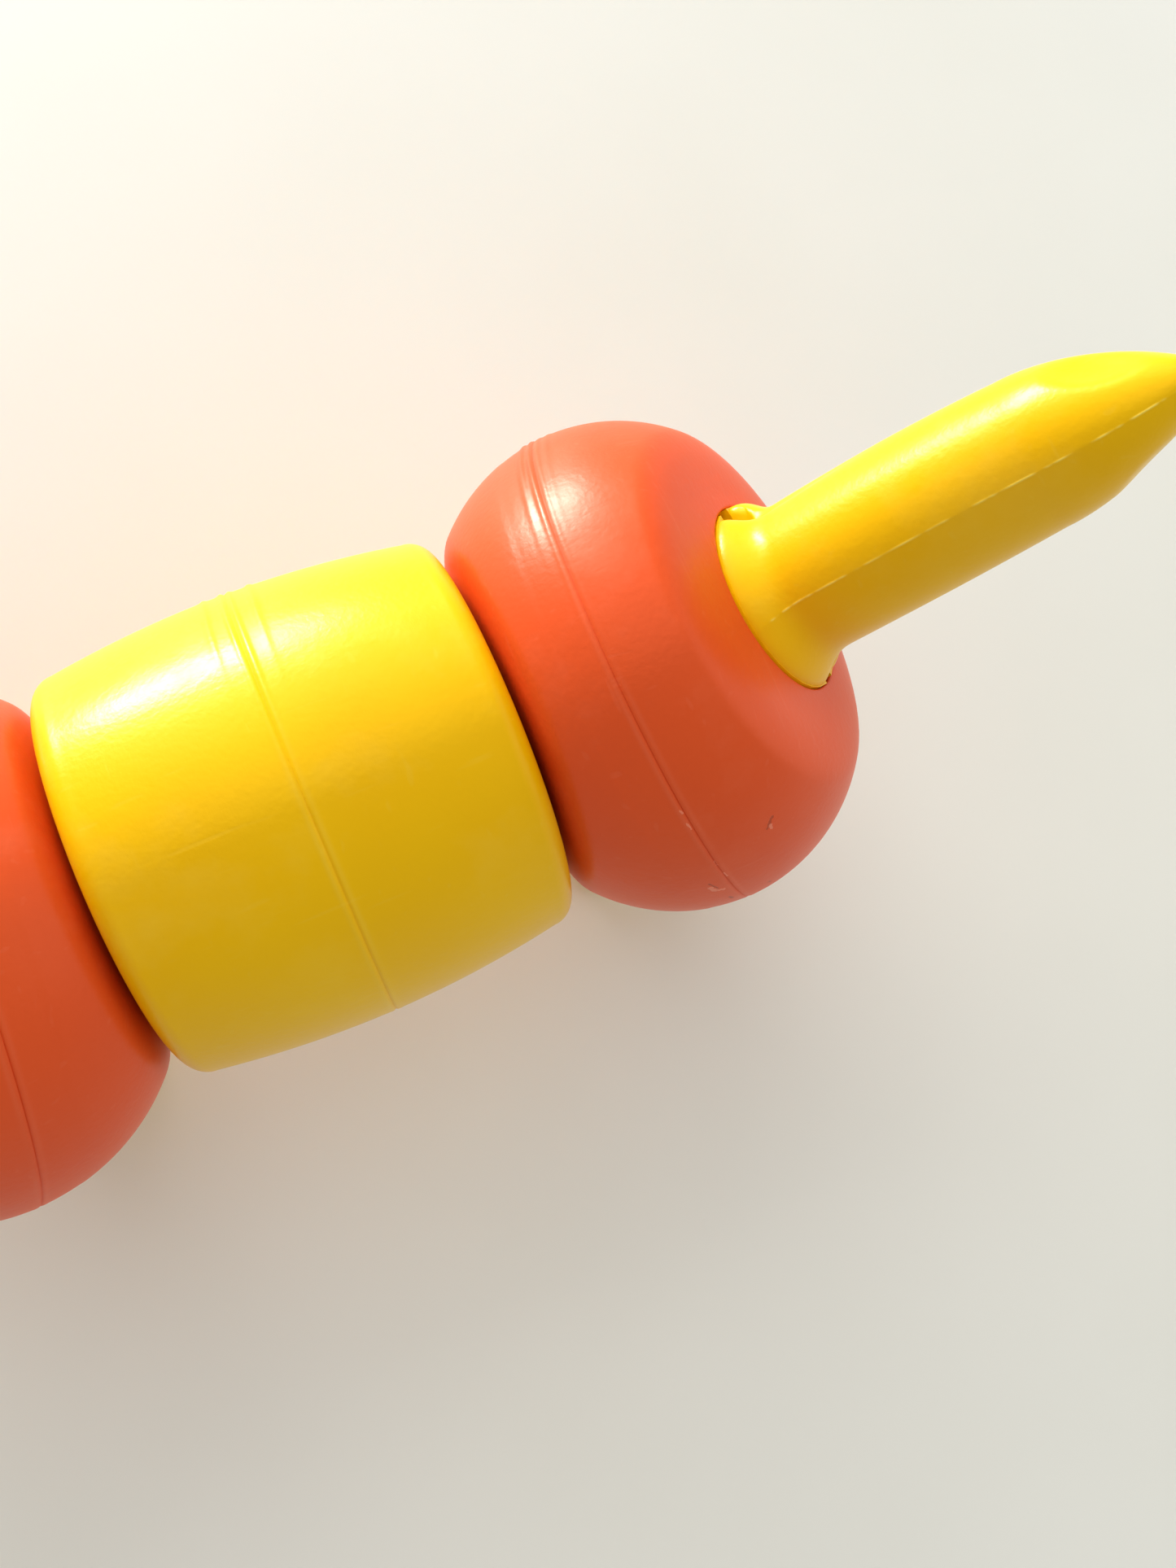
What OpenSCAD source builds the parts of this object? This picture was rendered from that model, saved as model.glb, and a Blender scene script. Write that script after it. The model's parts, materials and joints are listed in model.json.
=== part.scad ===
// Snap-together toy dog, facing -X and standing on z = 0.
// Two round beads, a barrel, a head, two ears, a tail and four legs are hollow mouldings.
// Each has a split plug that snaps into a round port of the next piece and turns there.

/* [Barrel] */
// Length of the barrel between the middles of its end faces
barrel_len = 56; // [50:1:70]
// Diameter of the barrel at its middle
barrel_mid_d = 60; // [58:1:72]
// Diameter of the barrel at its rims
barrel_rim_d = 56; // [50:1:57]
// Radius of the rounding at each rim
rim_round = 3.2; // [2:0.2:5]
// How far the middle of each end face stands out past its rim
end_dome = 0.8; // [0.2:0.1:1.5]

/* [Beads] */
// Diameter of each bead at its seam
bead_d = 70; // [66:1:80]
// Half length of the bead's oval, before the port faces are cut
bead_half_len = 27.2; // [26:0.2:30]
// Fullness of the bead's shoulders, where 2 is a plain oval
bead_fullness = 2.4; // [2:0.1:3]
// Distance from a bead's centre to each of its port faces
port_reach = 21.9; // [20.5:0.1:23]
// Lean of each port away from the bead's own axis, in degrees
port_lean = 20.4; // [17:0.2:23]

/* [Walls and seams] */
// Thickness of every moulded wall
wall = 2.2; // [1.8:0.1:2.8]
// Depth of the spigot that holds two half shells together
spigot_h = 3; // [2:0.5:5]
// Thickness of the spigot on each side of the wall's inner face
spigot_t = 1; // [0.8:0.1:1.2]
// Clearance round the spigot
spigot_gap = 0.1; // [0.05:0.05:0.2]
// Width of the raised weld line along each seam
weld_w = 1.2; // [0.8:0.2:2]
// Height of the raised weld line
weld_h = 0.35; // [0.2:0.05:0.5]

/* [Snap plugs] */
// Diameter of the large port holes
port_d = 27; // [24:0.5:28]
// Radial clearance of a plug's neck or a pin in its hole
fit_gap = 0.05; // [0.02:0.01:0.1]
// Clearance between the facing sides of two joined pieces
face_gap = 0.5; // [0.3:0.1:1]
// How far the bead of a large plug stands proud of its hole
snap_proud = 0.8; // [0.4:0.1:1]
// How far the bead of a small plug stands proud of its hole
small_proud = 0.5; // [0.3:0.1:0.6]
// Play between a plug's bead and the wall that it holds
snap_play = 0.2; // [0.1:0.1:0.4]
// Length of the straight land on a plug's bead
snap_land = 1.2; // [0.8:0.1:2]
// Length of a large plug inside its hole
plug_len = 9; // [8:0.5:11]
// Wall of a large plug
plug_wall = 2.4; // [2:0.1:3]
// How much a large plug narrows at its end
plug_taper = 1.6; // [1:0.1:2]
// How much a small plug narrows at its end
small_taper = 0.7; // [0.4:0.1:1]
// Width of the slots that let a large plug spring
slot_w = 3; // [2:0.2:4]
// Width of the slots in a small plug
small_slot_w = 1.6; // [1:0.1:2]

/* [Tail] */
// Length of the tail beyond its port face
tail_len = 58.5; // [50:0.5:75]
// Diameter of the tail above its foot
tail_d = 21.2; // [18:0.2:23]
// Diameter of the tail where its tip starts
tail_tip_d = 19.4; // [16:0.2:20]
// Height of the flared foot
foot_h = 6.5; // [5:0.5:10]
// Depth of the hollow inside the foot
foot_hollow = 2.4; // [1.5:0.1:3]
// Height of the slot that shows in the foot
foot_slot_h = 2.2; // [1:0.1:2.6]
// Length of the grooves that run up the sides from the foot's slot
groove_len = 22; // [10:1:30]
// Depth of each groove at the foot
groove_depth = 1; // [0.6:0.1:1.2]
// Length of the rounded tip
tail_tip_len = 21.5; // [18:0.5:28]
// Upward curl of the tip away from a straight tail
tail_curl = 6.5; // [0:0.5:10]
// Radius of the two thumb dishes pressed into the tip's sides
dish_r = 22; // [16:1:30]
// Depth of the dish on the left
left_dish_depth = 0.5; // [0.3:0.1:1.2]
// Depth of the dish on the right
right_dish_depth = 1.1; // [0.3:0.1:1.5]
// Distance of each dish's middle from the tail's end
dish_back = 10.5; // [9:0.5:12]
// Turn of each dish away from the tail's top, in degrees
dish_turn = 72; // [60:2:90]
// Lean of each dish towards the tail's end, in degrees
dish_lean = 22; // [10:1:30]
// Turn of the tail in its port as it stands, in degrees
tail_turn = 25; // [-90:1:90]

/* [Legs] */
// Height of a leg below its socket
leg_h = 24; // [20:1:40]
// Distance of each leg from the middle plane
leg_spread = 15; // [14.4:0.2:17]
// Set-back of the legs from the bead's centre, towards the barrel
leg_set_back = 1.5; // [1:0.1:2]
// How far the leg sockets reach below the bead
socket_stand = 0.5; // [0.3:0.1:3]
// Outside diameter of a leg socket
socket_d = 20; // [19.6:0.2:22]
// Diameter of the leg port holes
leg_port_d = 12; // [10:0.5:12.5]
// Length of a leg plug inside its hole
leg_plug_len = 7; // [6.5:0.5:9]
// Wall of a leg plug
leg_plug_wall = 1.6; // [1.4:0.1:2]
// Diameter of the cuff at the top of a leg
cuff_d = 18; // [16:0.5:19]
// Height of the cuff
cuff_h = 4; // [3:0.5:6]
// Bevel at the cuff's edges
cuff_bevel = 0.8; // [0.4:0.1:1.2]
// Diameter of a leg at its ankle
ankle_d = 13.6; // [12:0.2:15]
// Diameter of the heel
heel_d = 19; // [17:0.5:20]
// Height of the heel ball's centre above the ground
heel_z = 6.8; // [5.5:0.1:8]
// Diameter of each toe
toe_d = 8.8; // [8:0.2:9.6]
// Height of the toes' centres above the ground
toe_z = 3.7; // [3:0.1:3.9]
// Reach of the toes' centres in front of the leg's axis
toe_reach = 8.8; // [7.5:0.1:9.2]
// Angle between neighbouring toes
toe_fan = 38; // [32:1:44]

/* [Head] */
// Diameter of the skull at its seam
head_d = 62; // [58:1:68]
// Half length of the skull
head_half_len = 28; // [27:0.5:32]
// Fullness of the skull, where 2 is a plain oval
head_fullness = 2.3; // [2.1:0.1:2.8]
// Distance from the skull's centre to the neck face
neck_reach = 24; // [23:0.2:25]
// Diameter of the muzzle at its root
muzzle_root_d = 36; // [32:1:38]
// Diameter of the muzzle near its end
muzzle_end_d = 29; // [28:1:31]
// Distance from the skull's centre to the muzzle's end
muzzle_reach = 50; // [45:1:60]
// Distance of the muzzle's axis below the skull's axis
muzzle_drop = 5; // [4:0.5:6]
// Radius of the rounding at the muzzle's end
muzzle_round = 12; // [11:0.5:13]

/* [Face] */
// Diameter of the nose
nose_d = 13; // [11:0.5:14]
// How far the nose stands proud of its seat
nose_h = 6; // [4:0.5:7]
// Tilt of the nose above level, in degrees
nose_tilt = 24; // [15:1:35]
// Depth of the flat seat behind the nose
nose_seat = 1.9; // [1.8:0.1:2.4]
// Diameter of each eye
eye_d = 8.4; // [7:0.2:9]
// How far each eye stands proud of its seat
eye_h = 2.8; // [1.5:0.1:3.5]
// Depth of the flat seat behind each eye
eye_seat = 0.4; // [0.4:0.1:0.8]
// Angle of each eye back from the skull's front, along its outline
eye_back = 42; // [40:1:50]
// Turn of each eye out from the top of the skull
eye_turn = 32; // [26:1:38]
// Diameter of the pins behind the eyes and the nose
pin_d = 4; // [3:0.2:5]
// Length of those pins
pin_len = 5; // [4:0.5:7]

/* [Ears] */
// Angle of each ear port back from the skull's front, along its outline
ear_back = 110; // [106:1:116]
// Turn of each ear port out from the top of the skull
ear_turn = 74; // [66:1:80]
// Depth of the flat seat under each ear
ear_seat = 1.5; // [1.3:0.1:2]
// Diameter of the ear port holes
ear_port_d = 8; // [6:0.5:9]
// Length of an ear plug inside its hole
ear_plug_len = 6; // [5.5:0.5:7]
// Wall of an ear plug
ear_plug_wall = 1.4; // [1.2:0.1:1.6]
// Thickness of an ear at its middle
ear_t = 5; // [4:0.5:7]
// Diameter of the ear round its port
ear_root_d = 17; // [15:0.5:18]
// Diameter of the ear's lower lobe
ear_lobe_d = 24; // [20:0.5:26]
// Distance from the ear's port to the middle of its lobe
ear_drop = 21; // [18:0.5:25]
// Radius of the ear's crowned outer face
ear_crown_r = 60; // [50:1:90]

/* [Hidden] */
$fn = 72;

// Sides of the dog: it faces -X, so its left is -Y
left = -1;
right = 1;

orange = "#e8633a";
yellow = "#f7c600";
black = "#262322";

// Size of the blocks that cut away half a space, and the overlap that joins solids
big = 400;
nudge = 0.5;

// Steps in a quarter of an oval, in a rounding, along the barrel's side and over a button's dome
oval_steps = 14;
round_steps = 6;
side_steps = 12;
button_steps = 9;

// Sides of an ear's crown and of its outline
crown_sides = 200;
ear_sides = 32;

// Least rounding left inside the barrel's rims, and width of a weld line's flat crest
least_round = 0.6;
weld_crest = weld_w / 3;

bead_r = bead_d / 2;
head_r = head_d / 2;
mid_r = barrel_mid_d / 2;
rim_r = barrel_rim_d / 2;
port_r = port_d / 2;
neck_r = port_r - fit_gap;
leg_port_r = leg_port_d / 2;
ear_port_r = ear_port_d / 2;
pin_r = pin_d / 2;

// Places in the middle plane, measured from the barrel's centre
rise = 2 * port_lean;
socket_drop = bead_r + socket_stand;
stand_h = leg_h + face_gap + socket_drop;
bead_x = barrel_len / 2 + face_gap + port_reach;
leg_x = bead_x - leg_set_back;
head_dist = port_reach + face_gap + neck_reach;
head_x = -bead_x - head_dist * cos(rise);
head_z = stand_h + head_dist * sin(rise);
tail_x = bead_x + port_reach * cos(rise);
tail_z = stand_h + port_reach * sin(rise);

// The nose's seat, measured from the skull's centre
muzzle_arc_r = muzzle_end_d / 2 - muzzle_round;
nose_dist = muzzle_round - nose_seat;
nose_x = -(muzzle_reach - muzzle_round) - nose_dist * cos(nose_tilt);
nose_z = muzzle_arc_r - muzzle_drop + nose_dist * sin(nose_tilt);

// Tail: how quickly its foot narrows, its body thins, its tip rounds off and its axis curls up
foot_sweep = 1.7;
body_fall = 2.4;
tip_fall = 1.8;
tip_bluntness = 0.8;
curl_sweep = 2.6;

// Angle at which the tip's rounding stops, just short of a point
tip_arc = 84;

// How far the foot's top runs in under the body's skin
foot_lap = 0.15;

tail_body_len = tail_len - tail_tip_len;
tail_sides = 48;
tail_body_steps = 8;
tail_tip_steps = 14;

// Radius of the tail at a height in its foot and its body, and at a share of the way up its tip
function foot_r(z) =
    tail_d / 2 - foot_lap + (neck_r - tail_d / 2 + foot_lap) * pow(1 - z / foot_h, foot_sweep);
function body_r(z) =
    tail_d / 2 - (tail_d - tail_tip_d) / 2 * pow((z - foot_h) / (tail_body_len - foot_h), body_fall);
function tip_r(share) = tail_tip_d / 2 * pow(1 - pow(share, tip_fall), tip_bluntness);
function curl(z) = -tail_curl * pow(max(z - foot_h, 0) / (tail_len - foot_h), curl_sweep);
function tail_ring(z, r) = [
    for (i = [0 : tail_sides - 1]) let (a = 360 * i / tail_sides) [curl(z) + r * cos(a), r * sin(a), z]
];
tail_rings = concat(
    [tail_ring(foot_h / 2, tail_d / 2)],
    [for (i = [1 : tail_body_steps]) let (z = foot_h + (tail_body_len - foot_h) * i / tail_body_steps)
        tail_ring(z, body_r(z))],
    [for (i = [1 : tail_tip_steps]) let (share = sin(tip_arc * i / tail_tip_steps))
        tail_ring(tail_body_len + tail_tip_len * share, tip_r(share))]
);

// The origin lies on the ground under the middle of the whole length, from nose to tail
nose_end = head_x + nose_x - norm([nose_h * cos(nose_tilt), nose_d / 2 * sin(nose_tilt)]);
tail_end = tail_x + max([for (ring = tail_rings) for (p = ring)
    p[2] * cos(rise) + (p[0] * cos(tail_turn) - p[1] * sin(tail_turn)) * sin(rise)]);
x_mid = (nose_end + tail_end) / 2;

// A quarter of an oval from its pole to its widest circle, as [radius, height].
// A fullness above 2 swells its shoulders.
function oval(r, half, full) = [
    for (i = [0 : oval_steps]) let (a = 90 * i / oval_steps) [r * pow(sin(a), 2 / full), half * cos(a)]
];
function flip(points) = [for (i = [len(points) - 1 : -1 : 0]) [points[i][0], -points[i][1]]];
function mirrored(points) = concat(points, flip([for (i = [0 : len(points) - 2]) points[i]]));
function whole_oval(r, half, full) = mirrored(oval(r, half, full));

// Lean of the oval's surface towards its pole, at an angle along its outline
function oval_lean(r, half, full, a) = atan2(2 * cos(a) / half, full * pow(sin(a), 2 - 2 / full) / r);

// Barrel outline, made smaller all round by inset: domed ends, rounded rims and a crowned side
function barrel_outline(inset) =
    let (
        q = max(rim_round - inset, least_round),
        rim_z = barrel_len / 2 - end_dome - inset
    )
    mirrored(concat(
        [[0, barrel_len / 2 - inset], [port_r + wall, barrel_len / 2 - inset]],
        [for (i = [0 : round_steps]) let (a = 90 * i / round_steps)
            [rim_r - inset - q + q * sin(a), rim_z - q + q * cos(a)]],
        [for (i = [1 : side_steps / 2]) let (s = 1 - 2 * i / side_steps)
            [rim_r - inset + (mid_r - rim_r) * (1 - s * s), s * (rim_z - q)]]
    ));

// Skin over a stack of rings that all have the same number of points
module loft(rings) {
    n = len(rings[0]);
    last = len(rings) - 1;
    points = [for (ring = rings) for (p = ring) p];
    sides = [
        for (k = [0 : last - 1]) for (i = [0 : n - 1])
            let (j = (i + 1) % n, a = k * n + i, b = k * n + j, c = (k + 1) * n + i, d = (k + 1) * n + j)
            for (face = [[a, c, b], [b, c, d]])
                face
    ];
    ends = [[for (i = [0 : n - 1]) i], [for (i = [n - 1 : -1 : 0]) last * n + i]];
    polyhedron(points, concat(sides, ends));
}

// Puts a bead, the barrel, the head, the tail or a leg at its place in the standing dog
module at_rump() { translate([bead_x - x_mid, 0, stand_h]) children(); }
module at_chest() { translate([-bead_x - x_mid, 0, stand_h]) rotate([0, 0, 180]) children(); }
module at_barrel() { translate([-x_mid, 0, stand_h]) children(); }
module at_head() { translate([head_x - x_mid, 0, head_z]) children(); }
module at_tail() { translate([tail_x - x_mid, 0, tail_z]) rotate([0, 90 - rise, 0]) children(); }
module at_leg(end, side) { translate([end * leg_x - x_mid, side * leg_spread, 0]) children(); }

// Half spaces above and below z = 0
module above() { translate([-big / 2, -big / 2, 0]) cube(big); }
module below() { translate([-big / 2, -big / 2, -big]) cube(big); }

// Split plug that points up. z = 0 is the outer face of the wall that it snaps into, and
// its neck starts at depth root below that. slots is the number of slots across it.
module snap_plug(hole_r, length, thick, proud, taper, root, slots, width) {
    r = hole_r - fit_gap;
    bead_z = wall + snap_play;
    bead_h = proud + fit_gap;
    difference() {
        rotate_extrude() polygon([
            [r - thick, -root],
            [r, -root],
            [r, bead_z],
            [r + bead_h, bead_z + bead_h],
            [r + bead_h, bead_z + bead_h + snap_land],
            [r - taper, length],
            [r - thick, length]
        ]);
        if (slots > 0) for (i = [0 : slots - 1]) rotate([0, 0, 180 * i / slots])
            translate([-big / 2, -width / 2, 0]) cube([big, width, length + nudge]);
    }
}
module large_plug(root, slots) {
    snap_plug(port_r, plug_len, plug_wall, snap_proud, plug_taper, root, slots, slot_w);
}
module small_plug(hole_r, length, thick, slots) {
    snap_plug(hole_r, length, thick, small_proud, small_taper, face_gap + nudge, slots, small_slot_w);
}

// Weld line: a low ridge round a seam in the plane z = 0
module weld(r) {
    rotate_extrude() polygon([
        [r - wall / 2, -weld_w / 2], [r, -weld_w / 2], [r + weld_h, -weld_crest / 2],
        [r + weld_h, weld_crest / 2], [r, weld_w / 2], [r - wall / 2, weld_w / 2]
    ]);
}

// Spigot inside a seam in the plane z = 0, and the recess that takes it above the seam
module spigot(r) {
    difference() {
        translate([0, 0, -spigot_h]) cylinder(r = r - wall + spigot_t, h = 2 * spigot_h);
        translate([0, 0, -spigot_h - nudge]) cylinder(r = r - wall - spigot_t, h = 2 * (spigot_h + nudge));
    }
}
module spigot_recess(r) {
    translate([0, 0, -nudge])
        cylinder(r = r - wall + spigot_t + spigot_gap, h = nudge + spigot_h + spigot_gap);
}

// Beads. A bead's centre is the origin and the barrel lies towards -X.

// These turn +Z onto the bead's own axis, its outer port and its inner port
module on_bead_axis() { rotate([0, 90 - port_lean, 0]) children(); }
module on_outer_port() { rotate([0, 90 - rise, 0]) children(); }
module on_inner_port() { rotate([0, -90, 0]) children(); }
module at_sockets() {
    for (side = [left, right]) translate([-leg_set_back, side * leg_spread, -socket_drop]) children();
}

module bead_solid(inset) {
    intersection() {
        on_bead_axis() rotate_extrude()
            polygon(whole_oval(bead_r - inset, bead_half_len - inset, bead_fullness));
        on_outer_port() translate([0, 0, port_reach - inset]) below();
        on_inner_port() translate([0, 0, port_reach - inset]) below();
    }
}

module bead_shell() {
    difference() {
        union() {
            bead_solid(0);
            on_bead_axis() weld(bead_r);
            at_sockets() cylinder(d = socket_d, h = socket_drop / 2);
        }
        bead_solid(wall);
        on_outer_port() translate([0, 0, port_reach - 2 * wall]) cylinder(r = port_r, h = 4 * wall);
        at_sockets() translate([0, 0, wall]) cylinder(d = socket_d - 2 * wall, h = socket_drop / 2);
        at_sockets() translate([0, 0, -nudge]) cylinder(r = leg_port_r, h = wall + 2 * nudge);
    }
}

module bead_outer_shell() {
    color(orange) difference() {
        bead_shell();
        on_bead_axis() below();
        on_bead_axis() spigot_recess(bead_r);
    }
}

module bead_inner_shell() {
    color(orange) union() {
        difference() {
            bead_shell();
            on_bead_axis() above();
        }
        on_bead_axis() spigot(bead_r);
        on_inner_port() translate([0, 0, port_reach + face_gap]) large_plug(face_gap + nudge, 2);
    }
}

// Barrel. Its centre is the origin and it lies along X.

module on_barrel_axis() { rotate([0, 90, 0]) children(); }

module barrel_shell() {
    on_barrel_axis() difference() {
        union() {
            rotate_extrude() polygon(barrel_outline(0));
            weld(mid_r);
        }
        rotate_extrude() polygon(barrel_outline(wall));
        translate([0, 0, -barrel_len]) cylinder(r = port_r, h = 2 * barrel_len);
    }
}

module barrel_front_shell() {
    color(yellow) difference() {
        barrel_shell();
        on_barrel_axis() above();
        mirror([1, 0, 0]) on_barrel_axis() spigot_recess(mid_r);
    }
}

module barrel_back_shell() {
    color(yellow) union() {
        difference() {
            barrel_shell();
            on_barrel_axis() below();
        }
        on_barrel_axis() spigot(mid_r);
    }
}

// Tail. Its axis is +Z, its port face is z = 0 and its top faces -X. Its slot runs from side to side.

// Foot with a shallow hollow under it, which carries the plug
module tail_foot() {
    rotate_extrude() polygon(concat(
        [for (i = [0 : round_steps]) let (z = foot_h * i / round_steps) [foot_r(z), z]],
        [[0, foot_h], [0, foot_hollow], [neck_r - plug_wall, foot_hollow], [neck_r - plug_wall, 0]]
    ));
    mirror([0, 0, 1]) large_plug(0, 0);
}

// Hollow that narrows as far as the tip and keeps the wall under the curl at its thickness
module tail_bore() {
    foot_end_r = tail_d / 2 - wall;
    tip_end_r = tail_tip_d / 2 - wall + curl(tail_body_len);
    translate([0, 0, foot_hollow - nudge])
        cylinder(r1 = foot_end_r, r2 = tip_end_r, h = tail_body_len - foot_hollow);
}

// Slot through the foot and the plug, and a groove that fades out above each of its ends
module tail_slot() {
    groove_y = tail_d / 2 + slot_w / 2 - groove_depth;
    groove_lean = atan(groove_depth / groove_len);
    translate([-slot_w / 2, -big / 2, -plug_len - nudge])
        cube([slot_w, big, plug_len + nudge + foot_slot_h]);
    for (side = [left, right]) translate([0, side * groove_y, 0]) rotate([-side * groove_lean, 0, 0])
        cylinder(d = slot_w, h = groove_len);
}

module tail_dishes() {
    dish_z = tail_len - dish_back;
    skin_r = tip_r((dish_z - tail_body_len) / tail_tip_len);
    for (side = [left, right])
        translate([curl(dish_z), 0, dish_z]) rotate([0, 0, 180 - side * dish_turn])
            translate([skin_r, 0, 0]) rotate([0, -dish_lean, 0])
                translate([dish_r - (side == left ? left_dish_depth : right_dish_depth), 0, 0])
                    sphere(r = dish_r);
}

module tail_piece() {
    color(yellow) rotate([0, 0, tail_turn]) difference() {
        union() {
            loft(tail_rings);
            tail_foot();
        }
        tail_bore();
        tail_slot();
        tail_dishes();
    }
}

// Legs. A leg's plug is upright on the Z axis, its sole is on z = 0 and its toes point to -X.

module leg() {
    color(yellow) union() {
        difference() {
            union() {
                rotate_extrude() polygon([
                    [0, heel_z],
                    [ankle_d / 2, heel_z],
                    [ankle_d / 2, leg_h - cuff_h - cuff_bevel],
                    [cuff_d / 2, leg_h - cuff_h + cuff_bevel],
                    [cuff_d / 2, leg_h - cuff_bevel],
                    [cuff_d / 2 - cuff_bevel, leg_h],
                    [0, leg_h]
                ]);
                translate([0, 0, heel_z]) sphere(d = heel_d);
                for (turn = [-toe_fan, 0, toe_fan]) rotate([0, 0, turn])
                    translate([-toe_reach, 0, toe_z]) sphere(d = toe_d);
            }
            below();
            translate([0, 0, heel_z])
                cylinder(r = leg_port_r - fit_gap - leg_plug_wall, h = leg_h - heel_z + nudge);
        }
        translate([0, 0, leg_h + face_gap])
            small_plug(leg_port_r, leg_plug_len, leg_plug_wall, 2);
    }
}

// Head. The skull's centre is the origin and the muzzle points to -X.

module on_neck_port() { rotate([0, 90 + rise, 0]) children(); }

// Turns +Z onto the skull's normal, at an angle back along its outline and a turn out from its top
module on_skull(back, turn) {
    lean = oval_lean(head_r, head_half_len, head_fullness, back);
    rotate([-turn, 0, 0])
        translate([-head_half_len * cos(back), 0, head_r * pow(sin(back), 2 / head_fullness)])
        rotate([0, -lean, 0]) children();
}
module on_eye_seat(side) { on_skull(eye_back, side * eye_turn) translate([0, 0, -eye_seat]) children(); }
module on_ear_seat(side) { on_skull(ear_back, side * ear_turn) translate([0, 0, -ear_seat]) children(); }
module on_nose_seat() { translate([nose_x, 0, nose_z]) rotate([0, nose_tilt - 90, 0]) children(); }

module skull_solid(inset) {
    intersection() {
        on_barrel_axis() rotate_extrude()
            polygon(whole_oval(head_r - inset, head_half_len - inset, head_fullness));
        on_neck_port() translate([0, 0, neck_reach - inset]) below();
        on_ear_seat(left) translate([0, 0, -inset]) below();
        on_ear_seat(right) translate([0, 0, -inset]) below();
        on_eye_seat(left) translate([0, 0, -inset]) below();
        on_eye_seat(right) translate([0, 0, -inset]) below();
    }
}

module muzzle_solid(inset) {
    q = muzzle_round - inset;
    intersection() {
        translate([0, 0, -muzzle_drop]) rotate([0, -90, 0]) rotate_extrude() polygon(concat(
            [[0, 0], [muzzle_root_d / 2 - inset, 0]],
            [for (i = [0 : round_steps]) let (a = 90 * i / round_steps)
                [muzzle_arc_r + q * cos(a), muzzle_reach - muzzle_round + q * sin(a)]],
            [[0, muzzle_reach - inset]]
        ));
        on_nose_seat() translate([0, 0, -inset]) below();
    }
}

module head_shell() {
    difference() {
        union() {
            skull_solid(0);
            on_barrel_axis() weld(head_r);
            muzzle_solid(0);
        }
        skull_solid(wall);
        muzzle_solid(wall);
        on_nose_seat() pin_hole();
        for (side = [left, right]) {
            on_eye_seat(side) pin_hole();
            on_ear_seat(side) translate([0, 0, -2 * wall]) cylinder(r = ear_port_r, h = 4 * wall);
        }
    }
}

module head_front_shell() {
    color(yellow) difference() {
        head_shell();
        on_barrel_axis() above();
        mirror([1, 0, 0]) on_barrel_axis() spigot_recess(head_r);
    }
}

module head_back_shell() {
    color(yellow) union() {
        difference() {
            head_shell();
            on_barrel_axis() below();
        }
        on_barrel_axis() spigot(head_r);
        on_neck_port() translate([0, 0, neck_reach + face_gap]) large_plug(face_gap + nudge, 2);
    }
}

// Nose and eyes. Each is a domed button with a pin behind it, and its flat back is z = 0.

module pin_hole() { translate([0, 0, -2 * wall]) cylinder(r = pin_r, h = 4 * wall); }

module button(d, h) {
    rotate_extrude() polygon(concat(
        [for (i = [0 : button_steps]) let (a = 90 * i / button_steps) [d / 2 * cos(a), h * sin(a)]],
        [[0, -pin_len], [pin_r - fit_gap, -pin_len], [pin_r - fit_gap, 0]]
    ));
}

module nose() { color(black) on_nose_seat() button(nose_d, nose_h); }

module eye(side) { color(black) on_eye_seat(side) button(eye_d, eye_h); }

// Ears. Each hangs from its plug, flat inside and crowned outside.

module ear(side) {
    color(orange) on_ear_seat(side) union() {
        translate([0, 0, face_gap]) intersection() {
            linear_extrude(ear_t) hull() {
                circle(d = ear_root_d, $fn = ear_sides);
                translate([0, side * ear_drop]) circle(d = ear_lobe_d, $fn = ear_sides);
            }
            translate([0, side * ear_drop / 2, ear_t - ear_crown_r])
                sphere(r = ear_crown_r, $fn = crown_sides);
        }
        mirror([0, 0, 1]) small_plug(ear_port_r, ear_plug_len, ear_plug_wall, 1);
    }
}

at_barrel() barrel_front_shell();
at_barrel() barrel_back_shell();
at_chest() bead_outer_shell();  // chest_front_shell
at_chest() bead_inner_shell();  // chest_back_shell
at_rump() bead_inner_shell();  // rump_front_shell
at_rump() bead_outer_shell();  // rump_back_shell
at_tail() tail_piece();  // tail
at_head() head_front_shell();
at_head() head_back_shell();
at_head() nose();
at_head() eye(left);  // left_eye
at_head() eye(right);  // right_eye
at_head() ear(left);  // left_ear
at_head() ear(right);  // right_ear
at_leg(-1, left) leg();  // front_left_leg
at_leg(-1, right) leg();  // front_right_leg
at_leg(1, left) leg();  // rear_left_leg
at_leg(1, right) leg();  // rear_right_leg
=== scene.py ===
"""Snap-together toy dog: the dressed model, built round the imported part.

Shapes are worked out in millimetres in the part's own frame, and scaled to metres when a piece is made.
Each moulding is a closed skin of rings of points: outer face, edges and inner face.
"""

import json

import bpy
import numpy as np
from mathutils import Matrix, Vector


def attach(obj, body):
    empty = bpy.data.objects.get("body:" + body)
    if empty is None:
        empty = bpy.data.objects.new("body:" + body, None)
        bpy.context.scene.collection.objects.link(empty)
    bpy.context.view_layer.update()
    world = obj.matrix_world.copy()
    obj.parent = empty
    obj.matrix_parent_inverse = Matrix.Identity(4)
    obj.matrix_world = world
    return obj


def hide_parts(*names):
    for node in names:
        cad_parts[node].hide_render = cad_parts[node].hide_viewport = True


MM = 0.001
LEFT, RIGHT = -1, 1
# A distance too far to matter
FAR = 1e3
# Material slots of the part
YELLOW, ORANGE, BLACK = "yellow_plastic", "orange_plastic", "black_plastic"
X, Y, Z = np.eye(3)

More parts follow.
